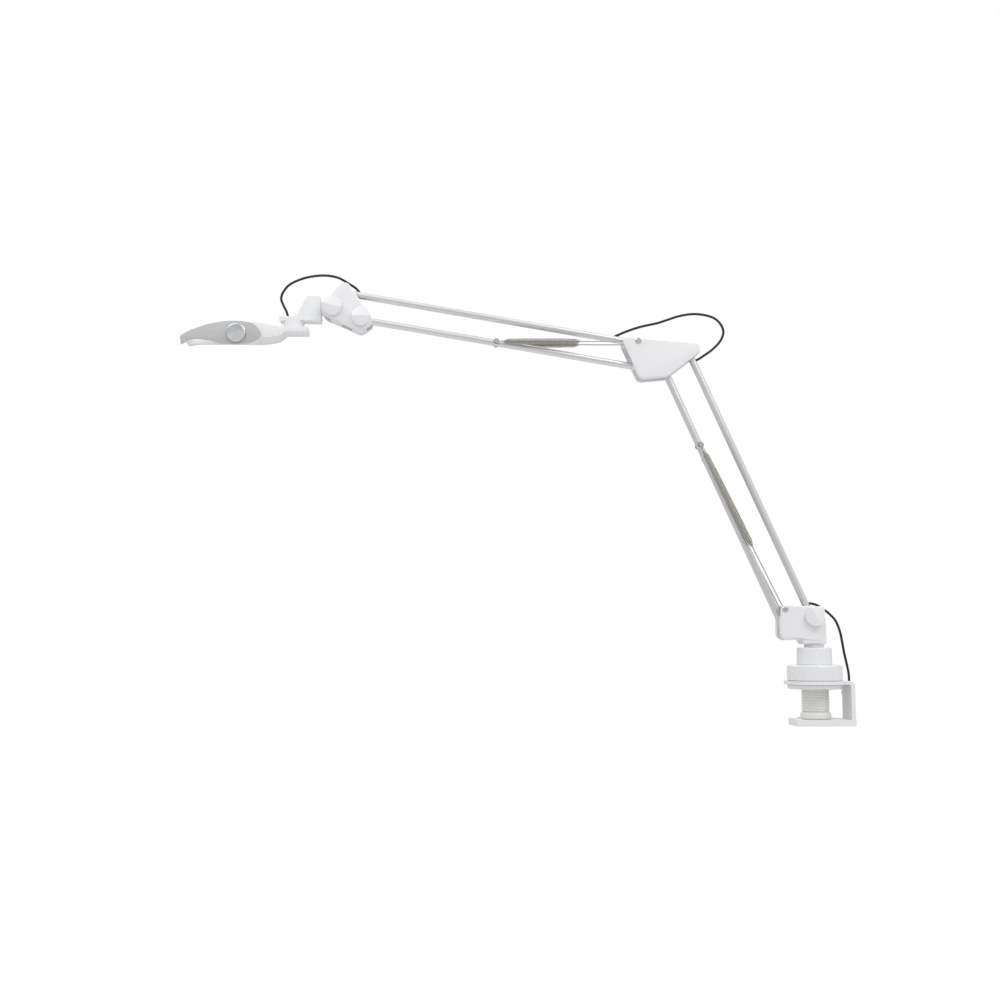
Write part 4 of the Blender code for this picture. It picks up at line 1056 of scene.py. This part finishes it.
def build_head_bracket():
    """Tower with the tilt eye, base plate and swivel boss above the head's neck."""
    outline = rounded_outline(
        [
            (-753.8, BRACKET_BASE, 1.2),
            (-694.6, BRACKET_BASE, 1.2),
            (-696.4, BRACKET_TOP, 2.5),
            (-714.4, BRACKET_TOP, 2.5),
            (-729.8, BRACKET_BASE + 5.8, 6.0),
            (-753.8, BRACKET_BASE + 5.8, 1.2),
        ]
    )
    bracket = slab("head_bracket", outline, -BRACKET_HALF, BRACKET_HALF)
    round_edges(bracket, 0.9, 2, 50.0)
    x, z = TILT
    arm = box("tilt_arm", (-700.0, x), (-9.0, 9.0), (z - 7.5, z + 7.5))
    eye = cross_cylinder("tilt_eye", TILT, 9.0, -COVER_INSIDE + 0.5, COVER_INSIDE - 0.5, 64)
    swivel = upright_cylinder("swivel_boss", 15.0, NECK_TOP + GAP, BRACKET_BASE + 1.0, SWIVEL_X)
    join(bracket, arm, eye, swivel)
    pin_top = BRACKET_BASE + 3.9
    cut(bracket, cross_cylinder("tilt_bore", TILT, STUD_R + GAP, -20.0, 20.0, 48))
    pin_hole_r = SWIVEL_PIN_R + GAP
    cut(bracket, upright_cylinder("bracket_pin_hole", pin_hole_r, 550.0, pin_top, SWIVEL_X))
    cut(bracket, cable_bore("bracket_cable_hole", CABLES["wrist_cable"][:3]))
    return finished(bracket)


def build_swivel_pin():
    low = NECK_LOW + 1.4 + GAP
    high = BRACKET_BASE + 3.9 - GAP
    return finished(upright_cylinder("swivel_pin", SWIVEL_PIN_R, low, high, SWIVEL_X))


# ---------------------------------------------------------------- materials


class Paint:
    """A node material on one Principled shader, with helpers for its textures."""

    def __init__(self, name, **settings):
        self.material = bpy.data.materials.new(name)
        self.material.use_nodes = True
        self.tree = self.material.node_tree
        self.shader = self.tree.nodes["Principled BSDF"]
        for socket, value in settings.items():
            self.shader.inputs[socket.replace("_", " ")].default_value = value
        self.bumps = []

    def node(self, kind, **inputs):
        made = self.tree.nodes.new("ShaderNode" + kind)
        for socket, value in inputs.items():
            made.inputs[socket.replace("_", " ")].default_value = value
        return made

    def link(self, source, target):
        self.tree.links.new(source, target)

    def coordinates(self, scale=(1.0, 1.0, 1.0)):
        """Object coordinates, scaled along the piece's own axes."""
        place = self.node("TexCoord")
        mapping = self.node("Mapping", Scale=scale)
        self.link(place.outputs["Object"], mapping.inputs["Vector"])
        return mapping.outputs["Vector"]

    def noise(self, scale, detail=3.0, stretch=(1.0, 1.0, 1.0)):
        made = self.node("TexNoise", Scale=scale, Detail=detail, Roughness=0.55)
        self.link(self.coordinates(stretch), made.inputs["Vector"])
        return made.outputs["Fac"]

    def ramp(self, source, low, high):
        """Maps the middle of a factor's range to a range of values."""
        made = self.node("MapRange", From_Min=0.3, From_Max=0.7, To_Min=low, To_Max=high)
        self.link(source, made.inputs["Value"])
        return made.outputs["Result"]

    def colours(self, source, first, second, low=0.3, high=0.7):
        """Blends the base colour from one colour to another by a factor."""
        made = self.node("ValToRGB")
        made.color_ramp.elements[0].position = low
        made.color_ramp.elements[1].position = high
        made.color_ramp.elements[0].color = (*first, 1.0)
        made.color_ramp.elements[1].color = (*second, 1.0)
        self.link(source, made.inputs["Fac"])
        self.link(made.outputs["Color"], self.shader.inputs["Base Color"])

    def roughness(self, source, low, high):
        """Varies the roughness between two values by a factor."""
        self.link(self.ramp(source, low, high), self.shader.inputs["Roughness"])

    def bump(self, source, height, strength):
        """Adds a bump of a height in millimetres on top of those before it."""
        made = self.node("Bump", Strength=strength, Distance=height * MM)
        self.link(source, made.inputs["Height"])
        if self.bumps:
            self.link(self.bumps[-1].outputs["Normal"], made.inputs["Normal"])
        self.link(made.outputs["Normal"], self.shader.inputs["Normal"])
        self.bumps.append(made)


def white_plastic(name, light, dark, gloss, coat=0.0):
    """Moulded plastic with a very fine texture and hardly visible flow marks."""
    paint = Paint(name, Coat_Weight=coat, Coat_Roughness=0.12)
    broad = paint.noise(28.0, 4.0, (1.0, 1.0, 0.6))
    paint.colours(broad, dark, light)
    paint.roughness(paint.noise(160.0, 2.0), gloss - 0.05, gloss + 0.06)
    paint.bump(paint.noise(1500.0, 2.0), 0.004, 0.25)
    return paint.material


def brushed_tube(name):
    """Drawn tube: fine lines along its own length and a satin surface."""
    paint = Paint(name, Metallic=0.85, Specular_IOR_Level=0.6)
    lines = paint.noise(500.0, 2.0, (1.0, 1.0, 0.01))
    clouds = paint.noise(60.0, 3.0, (1.0, 1.0, 0.1))
    paint.colours(clouds, (0.70, 0.705, 0.71), (0.78, 0.785, 0.79))
    paint.roughness(lines, 0.27, 0.40)
    paint.bump(lines, 0.004, 0.2)
    return paint.material


def satin_panel(name):
    """Silver-grey lacquer with a fine metallic grain."""
    paint = Paint(name, Metallic=0.3, Specular_IOR_Level=0.45)
    grain = paint.noise(1400.0, 2.0)
    paint.colours(paint.noise(22.0, 3.0), (0.515, 0.52, 0.52), (0.56, 0.565, 0.57))
    paint.roughness(grain, 0.36, 0.46)
    paint.bump(grain, 0.01, 0.3)
    return paint.material


def turned_face(name):
    """Turned aluminium: fine rings about the dial's own axis, which spread its highlights."""
    paint = Paint(name, Metallic=1.0, Roughness=0.30, Anisotropic=0.75)
    tangent = paint.node("Tangent")
    tangent.direction_type = "RADIAL"
    tangent.axis = "Z"
    paint.link(tangent.outputs["Tangent"], paint.shader.inputs["Tangent"])
    rings = paint.node("TexWave", Scale=620.0, Distortion=0.6, Detail=1.0)
    rings.wave_type = "RINGS"
    rings.rings_direction = "Z"
    paint.link(paint.coordinates(), rings.inputs["Vector"])
    paint.colours(rings.outputs["Fac"], (0.60, 0.61, 0.62), (0.68, 0.69, 0.70), 0.2, 0.8)
    paint.bump(rings.outputs["Fac"], 0.01, 0.35)
    return paint.material


def steel(name, colour, gloss, metallic=1.0):
    """Machined or drawn metal, or nylon with metallic 0, with a fine directional grain."""
    paint = Paint(name, Metallic=metallic)
    grain = paint.noise(1100.0, 3.0, (1.0, 1.0, 0.15))
    dark = tuple(c * 0.88 for c in colour)
    paint.colours(grain, dark, colour)
    paint.roughness(grain, gloss - 0.05, gloss + 0.08)
    paint.bump(grain, 0.01, 0.3)
    return paint.material


def rubber(name, colour, gloss):
    """Cable sheath: nearly even colour, slight dust and fine texture."""
    paint = Paint(name, Specular_IOR_Level=0.45, Sheen_Weight=0.05, Sheen_Roughness=0.5)
    dust = paint.noise(130.0, 4.0)
    paint.colours(dust, colour, tuple(c * 1.5 + 0.004 for c in colour))
    paint.roughness(paint.noise(500.0, 2.0), gloss - 0.06, gloss + 0.08)
    paint.bump(paint.noise(1600.0, 2.0), 0.02, 0.3)
    return paint.material


def frosted(name):
    """Diffuser sheet: milky, with a fine prism texture."""
    paint = Paint(name, Subsurface_Weight=0.25, Subsurface_Scale=0.002)
    prisms = paint.noise(700.0, 1.0)
    paint.colours(paint.noise(60.0, 2.0), (0.84, 0.84, 0.80), (0.88, 0.88, 0.85))
    paint.roughness(prisms, 0.42, 0.55)
    paint.bump(prisms, 0.03, 0.4)
    return paint.material


def board(name):
    """Light board: white solder mask with a faint fibre weave."""
    paint = Paint(name)
    weave = paint.noise(800.0, 1.0, (1.0, 0.2, 1.0))
    paint.colours(weave, (0.70, 0.71, 0.66), (0.78, 0.78, 0.73))
    paint.roughness(weave, 0.42, 0.55)
    paint.bump(weave, 0.015, 0.4)
    return paint.material


PAINTS = {
    "white_metal": white_plastic(
        "white_powder_coat", (0.86, 0.865, 0.875), (0.84, 0.845, 0.855), 0.36
    ),
    "white_plastic": white_plastic(
        "white_moulded", (0.87, 0.875, 0.89), (0.85, 0.855, 0.87), 0.26, 0.2
    ),
    "warm_white_plastic": white_plastic(
        "warm_white", (0.80, 0.79, 0.76), (0.77, 0.76, 0.725), 0.40
    ),
    "silver_tube": brushed_tube("silver_tube_satin"),
    "silver_panel": satin_panel("silver_panel_satin"),
    "brushed_aluminium": turned_face("turned_aluminium"),
    "bright_steel": steel("bright_steel_turned", (0.62, 0.61, 0.59), 0.24),
    "spring_steel": steel("spring_wire", (0.56, 0.53, 0.49), 0.30),
    "black_cable": rubber("cable_sheath", (0.006, 0.006, 0.007), 0.42),
    "grey_nylon": steel("grey_nylon_eye", (0.52, 0.52, 0.53), 0.42, 0.0),
    "frosted_diffuser": frosted("diffuser_sheet"),
    "led_board": board("led_board_mask"),
}


# ---------------------------------------------------------------- springs, thread, ring, dial


def ring_about_z(bm, steps, z, radius_at):
    """Vertices of one ring about Z; radius_at gives the radius at each step."""
    made = []
    for k in range(steps):
        a = 2.0 * math.pi * k / steps
        r = radius_at(k)
        made.append(bm.verts.new(Vector((r * math.cos(a), r * math.sin(a), z)) * MM))
    return made


def skin(name, bm, rings):
    """Joins rings of as many vertices each with faces and makes an object of them."""
    for first, second in zip(rings, rings[1:]):
        for k in range(len(first)):
            m = (k + 1) % len(first)
            bm.faces.new((first[k], first[m], second[m], second[k]))
    bmesh.ops.recalc_face_normals(bm, faces=bm.faces)
    mesh = bpy.data.meshes.new(name)
    bm.to_mesh(mesh)
    bm.free()
    return add_object(name, mesh)


def tube_along(name, points, radius, sides=16):
    """A round closed tube through points in millimetres, with even rings."""
    line = [Vector(p) for p in points]
    bm = bmesh.new()
    normal = (line[1] - line[0]).normalized().orthogonal()
    rings = []
    for i, here in enumerate(line):
        ahead = line[min(i + 1, len(line) - 1)]
        behind = line[max(i - 1, 0)]
        along = (ahead - behind).normalized()
        normal = (normal - along * normal.dot(along)).normalized()
        other = along.cross(normal)
        ring = []
        for k in range(sides):
            a = 2.0 * math.pi * k / sides
            place = here + (normal * math.cos(a) + other * math.sin(a)) * radius
            ring.append(bm.verts.new(place * MM))
        rings.append(ring)
    bm.faces.new(list(reversed(rings[0])))
    bm.faces.new(rings[-1])
    return skin(name, bm, rings)


def spring_frame(lug, anchor, y):
    """Unit vectors of a spring: from the anchor to the lug, across it, and along Y."""
    start = Vector((anchor[0], y, anchor[1]))
    end = Vector((lug[0], y, lug[1]))
    along = (end - start).normalized()
    return start, along, Vector((0.0, 1.0, 0.0)).cross(along), (end - start).length


def spring_piece(name, points, sides):
    """Spring wire as a round tube through points, in spring steel, fixed where it is built."""
    thing = tube_along(name, points, SPRING_WIRE_R, sides)
    painted(thing, PAINTS["spring_steel"], 60.0)
    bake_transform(thing)
    return thing


def coil_share(t):
    """Share of a coil's full radius at a place along it: the last turns narrow to the wire."""
    near_end = min(t, 1.0 - t)
    return min(1.0, 0.30 + 12.0 * near_end) * min(1.0, max(0.9, 0.35 + 3.0 * near_end))


def build_wound_spring(node, lug, anchor, y, tail, bodies):
    """Close-wound tension spring, straight wire and hooks; the hook at the lug rides on the first
    of the bodies.
    """
    start, along, across, length = spring_frame(lug, anchor, y)
    side = Vector((0.0, 1.0, 0.0))
    last = length - 7.0
    wound = last - tail - 6.0
    turns = wound / (2.0 * SPRING_WIRE_R * 1.06)
    count = int(turns * 14)
    coil = [start + along * tail, start + along * (tail + 1.5)]
    for i in range(count + 1):
        t = i / count
        a = 2.0 * math.pi * turns * t
        reach = (SPRING_R - SPRING_WIRE_R) * coil_share(t)
        middle = start + along * (tail + 3.0 + wound * t)
        coil.append(middle + (across * math.cos(a) + side * math.sin(a)) * reach)
    coil += [start + along * (last - 1.5), start + along * last]
    thing = spring_piece(node + "_coil", coil, 7)
    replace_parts(thing, node)
    edges = [tail + 0.5, 30.0, 10.0]
    for i, (high, low) in enumerate(zip(edges, edges[1:])):
        count = max(3, int((high - low) / 3.0))
        line = [start + along * (high + (low - high) * k / count) for k in range(count + 1)]
        spring_piece(f"{node}_wire_{i}", line, 12)
    hook = [start + along * (10.0 - 1.5 * k) for k in range(4)]
    hook += hook_points(start, along, across)
    spring_piece(f"{node}_hook", hook, 12)
    end = start + along * length
    lug_hook = [end - along * (7.2 - 0.9 * k) for k in range(4)]
    lug_hook += hook_points(end, -along, across)
    eye = tube_along(node + "_lug_hook", lug_hook, SPRING_WIRE_R, 12)
    painted(eye, PAINTS["spring_steel"], 60.0)
    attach(eye, bodies[0])


def hook_points(centre, towards, across):
    """Points of a hook's ring around a pin, from the wire's end right round to nearly closed."""
    points = []
    for k in range(25):
        a = math.radians(8.0 + 330.0 * k / 24.0)
        points.append(centre + (towards * math.cos(a) + across * math.sin(a)) * SPRING_HOOK_R)
    return points


def build_clamp_screw():
    """Hollow screw with a helical rounded thread and a smooth neck."""
    steps = 96
    low, high = THREAD_LOW, PLATE_TOP
    root = THREAD_R - THREAD_DEPTH
    bm = bmesh.new()
    rings = []
    levels = int((high - low) / 0.25)
    for i in range(levels + 1):
        z = low + (high - low) * i / levels
        depth = THREAD_DEPTH * max(0.0, min(1.0, (z - low) / 2.0, (high - z) / 2.0))
        rings.append(ring_about_z(bm, steps, z, lambda k: root + depth * ridge(z, k / steps)))
    bore = SPIGOT_R + GAP
    top = RING_TOP - 0.4
    for r, z in ((RING_NECK_R, high), (RING_NECK_R, top), (bore, top), (bore, low)):
        rings.append(ring_about_z(bm, steps, z, lambda k: r))
    rings.append(rings[0])
    return finished(skin("clamp_screw", bm, rings), 40.0)


def ridge(z, turn):
    """Height of the thread, from 0 to 1, at a height and a share of a turn."""
    phase = (z / THREAD_PITCH + turn) % 1.0
    return min(1.0, 0.75 + 0.75 * math.cos(2.0 * math.pi * phase)) ** 0.8


def build_tightening_ring():
    """Ring that is turned by hand, with fine grip ribs round its side."""
    steps = 360
    low = PLATE_TOP + 0.5
    inner = RING_NECK_R + GAP
    rib_top, rib_low = RING_TOP - 2.6, low + 1.8
    profile = [
        (inner, RING_TOP),
        (RING_R - 3.0, RING_TOP),
        (RING_R - 2.2, RING_TOP - 0.15),
        (RING_R - 0.9, RING_TOP - 0.9),
        (RING_R - 0.15, RING_TOP - 2.2),
        (RING_R, rib_top),
        (RING_R, (rib_top + rib_low) / 2),
        (RING_R, rib_low),
        (RING_R - 0.3, low + 0.8),
        (RING_R - 1.0, low),
        (inner, low),
    ]
    bm = bmesh.new()
    rings = []
    for r, z in profile:
        depth = 0.35 if rib_low - 0.01 <= z <= rib_top + 0.01 else 0.0
        rings.append(
            ring_about_z(
                bm, steps, z, lambda k: r - depth * (0.5 - 0.5 * math.cos(math.pi * k / 2.0))
            )
        )
    rings.append(rings[0])
    return finished(skin("tightening_ring", bm, rings), 25.0)


def build_dimmer_dial():
    """Turned aluminium dial: dished face, bright bevelled rim and a fine groove inside it."""
    low = GAP
    profile = [
        (0.0, DIAL_HIGH - 0.9),
        (DIAL_R - 3.4, DIAL_HIGH - 0.55),
        (DIAL_R - 2.0, DIAL_HIGH - 0.35),
        (DIAL_R - 1.7, DIAL_HIGH - 0.05),
        (DIAL_R - 1.1, DIAL_HIGH),
        (DIAL_R - 0.35, DIAL_HIGH - 0.35),
        (DIAL_R, DIAL_HIGH - 1.0),
        (DIAL_R, low + 0.4),
        (DIAL_R - 0.4, low),
        (STUD_R, low),
        (STUD_R, -PANEL_THICK + 0.1),
        (0.0, -PANEL_THICK + 0.1),
    ]
    face = -(HEAD_HALF + GAP + PANEL_THICK)
    return finished(lay_across(turned("dimmer_dial", profile), DIAL_AT, face), 20.0)


# ---------------------------------------------------------------- cables


def cable_piece(name, points, bodies, start=None, end=None):
    """A stretch of cable; it rides on one body, and with two it stays where it is built."""
    thing = tube_along(name, points, CABLE_R, 20)
    painted(thing, PAINTS["black_cable"], 60.0)
    if len(bodies) == 2:
        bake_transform(thing)
    else:
        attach(thing, bodies[0])
    return thing


def nearest_index(points, target):
    """Index of the point nearest to a target."""
    return min(range(len(points)), key=lambda i: (points[i] - Vector(target)).length)


# The loops over the elbow and the wrist, each in two stretches that meet where it passes the
# joint: name, bodies, and two points along the stretch.
LOOPS = {
    "elbow_cable": [
        ("upper", ("upper_top_tube", "elbow"), (-272.0, 0.0, 553.0), (-188.0, 0.0, 579.0)),
        ("lower", ("elbow", "lower_rear_tube"), (-170.0, 0.0, 590.0), (-150.0, 0.0, 522.0)),
    ],
    "wrist_cable": [
        ("head", ("head_bracket", "wrist"), (-746.0, 0.0, 586.0), (-706.0, 0.0, 634.0)),
        ("arm", ("wrist", "upper_top_tube"), (-703.0, 0.0, 636.0), (-643.0, 0.0, 612.0)),
    ],
}


def build_loop(node, route, split):
    """The cable loop that bridges a joint, split at one of its route's points."""
    line = smooth_route(route, 2.0)
    middle = nearest_index(line, route[split])
    for (word, *bending), part in zip(LOOPS[node], (line[: middle + 1], line[middle:])):
        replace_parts(cable_piece(f"{node}_{word}", part, *bending), node)


def coil_route():
    """The stored turns: in towards the middle on the surface, then out again on top of them."""
    outer = COIL_OUTER - CABLE_R
    turns_in = COIL_ENTRY + 360.0 * (outer - COIL_INNER) / COIL_PITCH
    turns_out = turns_in + COIL_CLIMB
    leaving = COIL_END - COIL_EXIT
    points = []
    steps = int(COIL_END / 8.0)
    for i in range(1, steps + 1):
        a = COIL_END * i / steps
        if a < COIL_ENTRY:
            r = COIL_START + (outer - COIL_START) * ease(a / COIL_ENTRY)
        elif a < turns_in:
            r = outer + (COIL_INNER - outer) * (a - COIL_ENTRY) / (turns_in - COIL_ENTRY)
        elif a < turns_out:
            r = COIL_INNER
        elif a < leaving:
            r = COIL_INNER + (outer - COIL_INNER) * (a - turns_out) / (leaving - turns_out)
        else:
            r = outer + (PLUG_REACH - outer) * ease((a - leaving) / COIL_EXIT)
        z = COIL_LOW + (COIL_TOP - COIL_LOW) * ease((a - turns_in) / COIL_CLIMB)
        turn = math.radians(a)
        points.append((COIL_AT[0] + r * math.cos(turn), COIL_AT[1] + r * math.sin(turn), z))
    return points


def ease(t):
    """Rises smoothly from 0 to 1."""
    t = min(1.0, max(0.0, t))
    return t * t * (3.0 - 2.0 * t)


def plug_place():
    """Where the plug starts, and the direction in which it points."""
    a = math.radians(PLUG_ANGLE)
    x = COIL_AT[0] + PLUG_REACH * math.cos(a)
    y = COIL_AT[1] + PLUG_REACH * math.sin(a)
    return Vector((x, y, COIL_TOP)), Vector((-math.sin(a), math.cos(a), -0.055)).normalized()


def build_lead_plug():
    """Barrel plug with a ribbed strain relief; the last of the lead runs into it."""
    profile = [(0.0, PLUG_LENGTH), (0.9, PLUG_LENGTH), (0.95, PLUG_LENGTH - 0.2)]
    profile += [(0.95, PLUG_LENGTH - 8.4), (2.2, PLUG_LENGTH - 8.5), (2.2, PLUG_LENGTH - 0.2)]
    profile += [(2.6, PLUG_LENGTH - 0.1), (2.75, PLUG_LENGTH - 0.4), (2.75, 27.0), (3.0, 27.0)]
    profile += [(3.2, 26.7), (3.2, 14.0), (3.05, 13.6)]
    for i in range(6):
        z = 13.0 - i * 1.2
        r = 2.95 - i * 0.13
        profile += [(r, z), (r, z - 0.6), (r - 0.35, z - 0.7), (r - 0.4, z - 1.1)]
    profile += [(CABLE_R + 0.1, 5.6), (CABLE_R, 5.2), (0.0, 5.2)]
    plug = turned("lead_plug", profile)
    start, along = plug_place()
    plug.rotation_mode = "QUATERNION"
    plug.rotation_quaternion = along.to_track_quat("Z", "Y")
    plug.location = start * MM
    return finished(plug, 35.0)


LEAD_SPLITS = (4, 9, 12)  # points of the lead's route where one stretch ends
LEAD_STRETCHES = [
    ("power_lead_top", ("lower_rear_tube", "shoulder"), (-8.0, 0.0, 170.0), (22.0, 0.0, 156.0)),
    ("power_lead_swivel", ("shoulder", "clamp_core"), (38.0, 2.0, 135.0), (49.0, 12.0, 86.0)),
    ("power_lead_slide", ("clamp_core", "clamp_frame"), (52.5, 18.0, 76.0), (54.8, 26.0, 52.0)),
]


def build_power_lead():
    """The lead from the rear tube to its plug, one stretch for each joint that it passes."""
    line = smooth_route(LEAD_ROUTE, 2.0)
    marks = [0] + [nearest_index(line, LEAD_ROUTE[i]) for i in LEAD_SPLITS]
    for (name, *bending), first, last in zip(LEAD_STRETCHES, marks, marks[1:]):
        points = line[first : last + 1]
        piece = cable_piece(name, points, *bending)
        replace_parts(piece, "power_lead")
    plug = build_lead_plug()
    start, along = plug_place()
    rest = line[marks[-1] :] + coil_route() + [start + along * d for d in (2.0, 4.0, 6.0)]
    points = smooth_route(rest, 1.6)
    piece = cable_piece("power_lead_stored", points, ("clamp_frame",))
    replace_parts(piece, "power_lead", "lead_coil")


# ---------------------------------------------------------------- assembly


# Name, place and the angle of the face's ridge in degrees about Y.
KNOBS = (
    ("shoulder_knob", P2, -26.0),
    ("wrist_knob", S2, 90.0),
    ("tilt_knob", TILT, 105.0),
)


def build_joints():
    build_swivel_block()
    for side in (-1, 1):
        build_shoulder_cover(side)
        build_spring_screw(side)
        build_elbow_cover(side)
        build_wrist_plate(side)
    build_pin("shoulder_pin", P1)
    build_pin("elbow_pin_front_tube", Q1)
    build_pin("elbow_pin_rear_tube", Q2)
    build_pin("elbow_pin_bottom_tube", R2)
    build_elbow_screw()
    build_pin("wrist_pin", S1)
    for name, at, ridge_angle in KNOBS:
        build_knob(name, at, ridge_angle)
        build_knob_nut(name + "_nut", at)


def build_arms():
    elbow, wrist, lead = (CABLES[name] for name in ("elbow_cable", "wrist_cable", "power_lead"))
    build_tube("lower_front_tube", P1, LOWER_ANGLE, [], LOWER_LUG)
    build_tube("lower_rear_tube", P2, LOWER_ANGLE, [lead[:3], elbow[-3:]])
    build_tube("upper_top_tube", R1, UPPER_ANGLE, [elbow[:3], wrist[-3:]])
    build_tube("upper_bottom_tube", R2, UPPER_ANGLE, [], UPPER_LUG)
    build_eye("lower_front_eye_bottom", P1, LOWER_ANGLE)
    build_eye("lower_front_eye_top", Q1, LOWER_ANGLE + 180.0)
    build_eye("lower_rear_eye_bottom", P2, LOWER_ANGLE)
    build_eye("lower_rear_eye_top", Q2, LOWER_ANGLE + 180.0)
    build_eye("upper_top_eye_elbow", R1, UPPER_ANGLE)
    build_eye("upper_top_eye_wrist", S1, UPPER_ANGLE + 180.0)
    build_eye("upper_bottom_eye_elbow", R2, UPPER_ANGLE)
    build_eye("upper_bottom_eye_wrist", S2, UPPER_ANGLE + 180.0)
    build_spring_pin("lower_spring_pin", LOWER_LUG)
    build_spring_pin("upper_spring_pin", UPPER_LUG)
    lower = ("lower_front_tube", "shoulder")
    upper = ("upper_bottom_tube", "elbow")
    for side, word in ((-1, "front"), (1, "rear")):
        y = side * SPRING_Y
        build_wound_spring(
            f"lower_spring_{word}", LOWER_LUG, SPRING_SCREW, y, 95.0, lower
        )
        build_wound_spring(f"upper_spring_{word}", UPPER_LUG, R1, y, 80.0, upper)


def build_head():
    build_head_bracket()
    build_swivel_pin()
    build_head_shell()
    build_side_panel(-1)
    build_side_panel(1)
    build_dimmer_dial()
    build_diffuser()
    build_led_board()


def build_clamp():
    build_clamp_frame()
    build_clamp_nut()
    build_clamp_screw()
    build_tightening_ring()
    build_screw_foot()
    build_post_sleeve()
    build_lead_clip()


build_power_lead()
build_loop("elbow_cable", ELBOW_ROUTE, 6)
build_loop("wrist_cable", WRIST_ROUTE, 8)
build_clamp()
build_joints()
build_arms()
build_head()


# ---------------------------------------------------------------- floor, light and world


DESK_HEIGHT = 0.75  # metres
FLOOR_HALF = 6.0  # metres


def build_floor():
    """Pale floor a desk height lower, even white from above and not seen from below."""
    mesh = bpy.data.meshes.new("floor")
    around = ((-1, -1), (1, -1), (1, 1), (-1, 1))
    corners = [(x * FLOOR_HALF, y * FLOOR_HALF, 0.0) for x, y in around]
    mesh.from_pydata(corners, [], [(0, 1, 2, 3)])
    floor = add_object("floor", mesh)
    material = bpy.data.materials.new("floor_white")
    material.use_nodes = True
    tree = material.node_tree
    tree.nodes.clear()
    output = tree.nodes.new("ShaderNodeOutputMaterial")
    mix = tree.nodes.new("ShaderNodeMixShader")
    glow = tree.nodes.new("ShaderNodeEmission")
    clear = tree.nodes.new("ShaderNodeBsdfTransparent")
    side = tree.nodes.new("ShaderNodeNewGeometry")
    tree.links.new(side.outputs["Backfacing"], mix.inputs["Fac"])
    tree.links.new(glow.outputs["Emission"], mix.inputs[1])
    tree.links.new(clear.outputs["BSDF"], mix.inputs[2])
    tree.links.new(mix.outputs["Shader"], output.inputs["Surface"])
    mesh.materials.append(material)
    floor.visible_diffuse = False
    floor.visible_glossy = False
    floor.visible_shadow = False
    floor.location.z = -DESK_HEIGHT


# Brightness of the sky from straight below, at 0, to straight above, at 1.
SKY = ((0.0, 1.06), (0.3, 0.84), (0.46, 0.60), (0.54, 0.86), (1.0, 1.16))


def build_world():
    """White backdrop for the camera, and for all else a soft sky, brighter overhead."""
    world = bpy.data.worlds.new("studio")
    bpy.context.scene.world = world
    world.use_nodes = True
    tree = world.node_tree
    tree.nodes.clear()
    output = tree.nodes.new("ShaderNodeOutputWorld")
    shown = tree.nodes.new("ShaderNodeBackground")
    shown.inputs["Color"].default_value = (1.0, 1.0, 1.0, 1.0)
    lit = tree.nodes.new("ShaderNodeBackground")
    lit.inputs["Strength"].default_value = 0.82
    place = tree.nodes.new("ShaderNodeTexCoord")
    split = tree.nodes.new("ShaderNodeSeparateXYZ")
    ramp = tree.nodes.new("ShaderNodeValToRGB")
    reach = tree.nodes.new("ShaderNodeMapRange")
    reach.inputs["From Min"].default_value = -1.0
    tree.links.new(place.outputs["Generated"], split.inputs["Vector"])
    tree.links.new(split.outputs["Z"], reach.inputs["Value"])
    tree.links.new(reach.outputs["Result"], ramp.inputs["Fac"])
    for position, _ in SKY[1:-1]:
        ramp.color_ramp.elements.new(position)
    for element, (_, value) in zip(ramp.color_ramp.elements, SKY):
        element.color = (value, value, value * 1.005, 1.0)
    tree.links.new(ramp.outputs["Color"], lit.inputs["Color"])
    path = tree.nodes.new("ShaderNodeLightPath")
    mix = tree.nodes.new("ShaderNodeMixShader")
    tree.links.new(path.outputs["Is Camera Ray"], mix.inputs["Fac"])
    tree.links.new(lit.outputs["Background"], mix.inputs[1])
    tree.links.new(shown.outputs["Background"], mix.inputs[2])
    tree.links.new(mix.outputs["Shader"], output.inputs["Surface"])


def build_light(name, at, target, size, power):
    """A soft rectangular light that looks at a target."""
    data = bpy.data.lights.new(name, "AREA")
    data.shape = "RECTANGLE"
    data.size, data.size_y = size
    data.energy = power
    lamp = bpy.data.objects.new(name, data)
    bpy.context.scene.collection.objects.link(lamp)
    lamp.location = at
    lamp.rotation_mode = "QUATERNION"
    lamp.rotation_quaternion = (Vector(target) - Vector(at)).to_track_quat("-Z", "Y")


# Name, position, target and size in metres, and power in watts.
LIGHTS = (
    ("key", (1.2, -2.0, 2.6), (-0.3, 0.0, 0.35), (1.6, 1.2), 24.0),
    ("fill", (-1.5, -1.1, 2.1), (-0.75, 0.0, 0.55), (1.2, 0.9), 8.0),
    ("back", (-0.4, 2.4, 2.2), (-0.4, 0.0, 0.4), (2.4, 1.2), 12.0),
)

build_floor()
build_world()
for light in LIGHTS:
    build_light(*light)
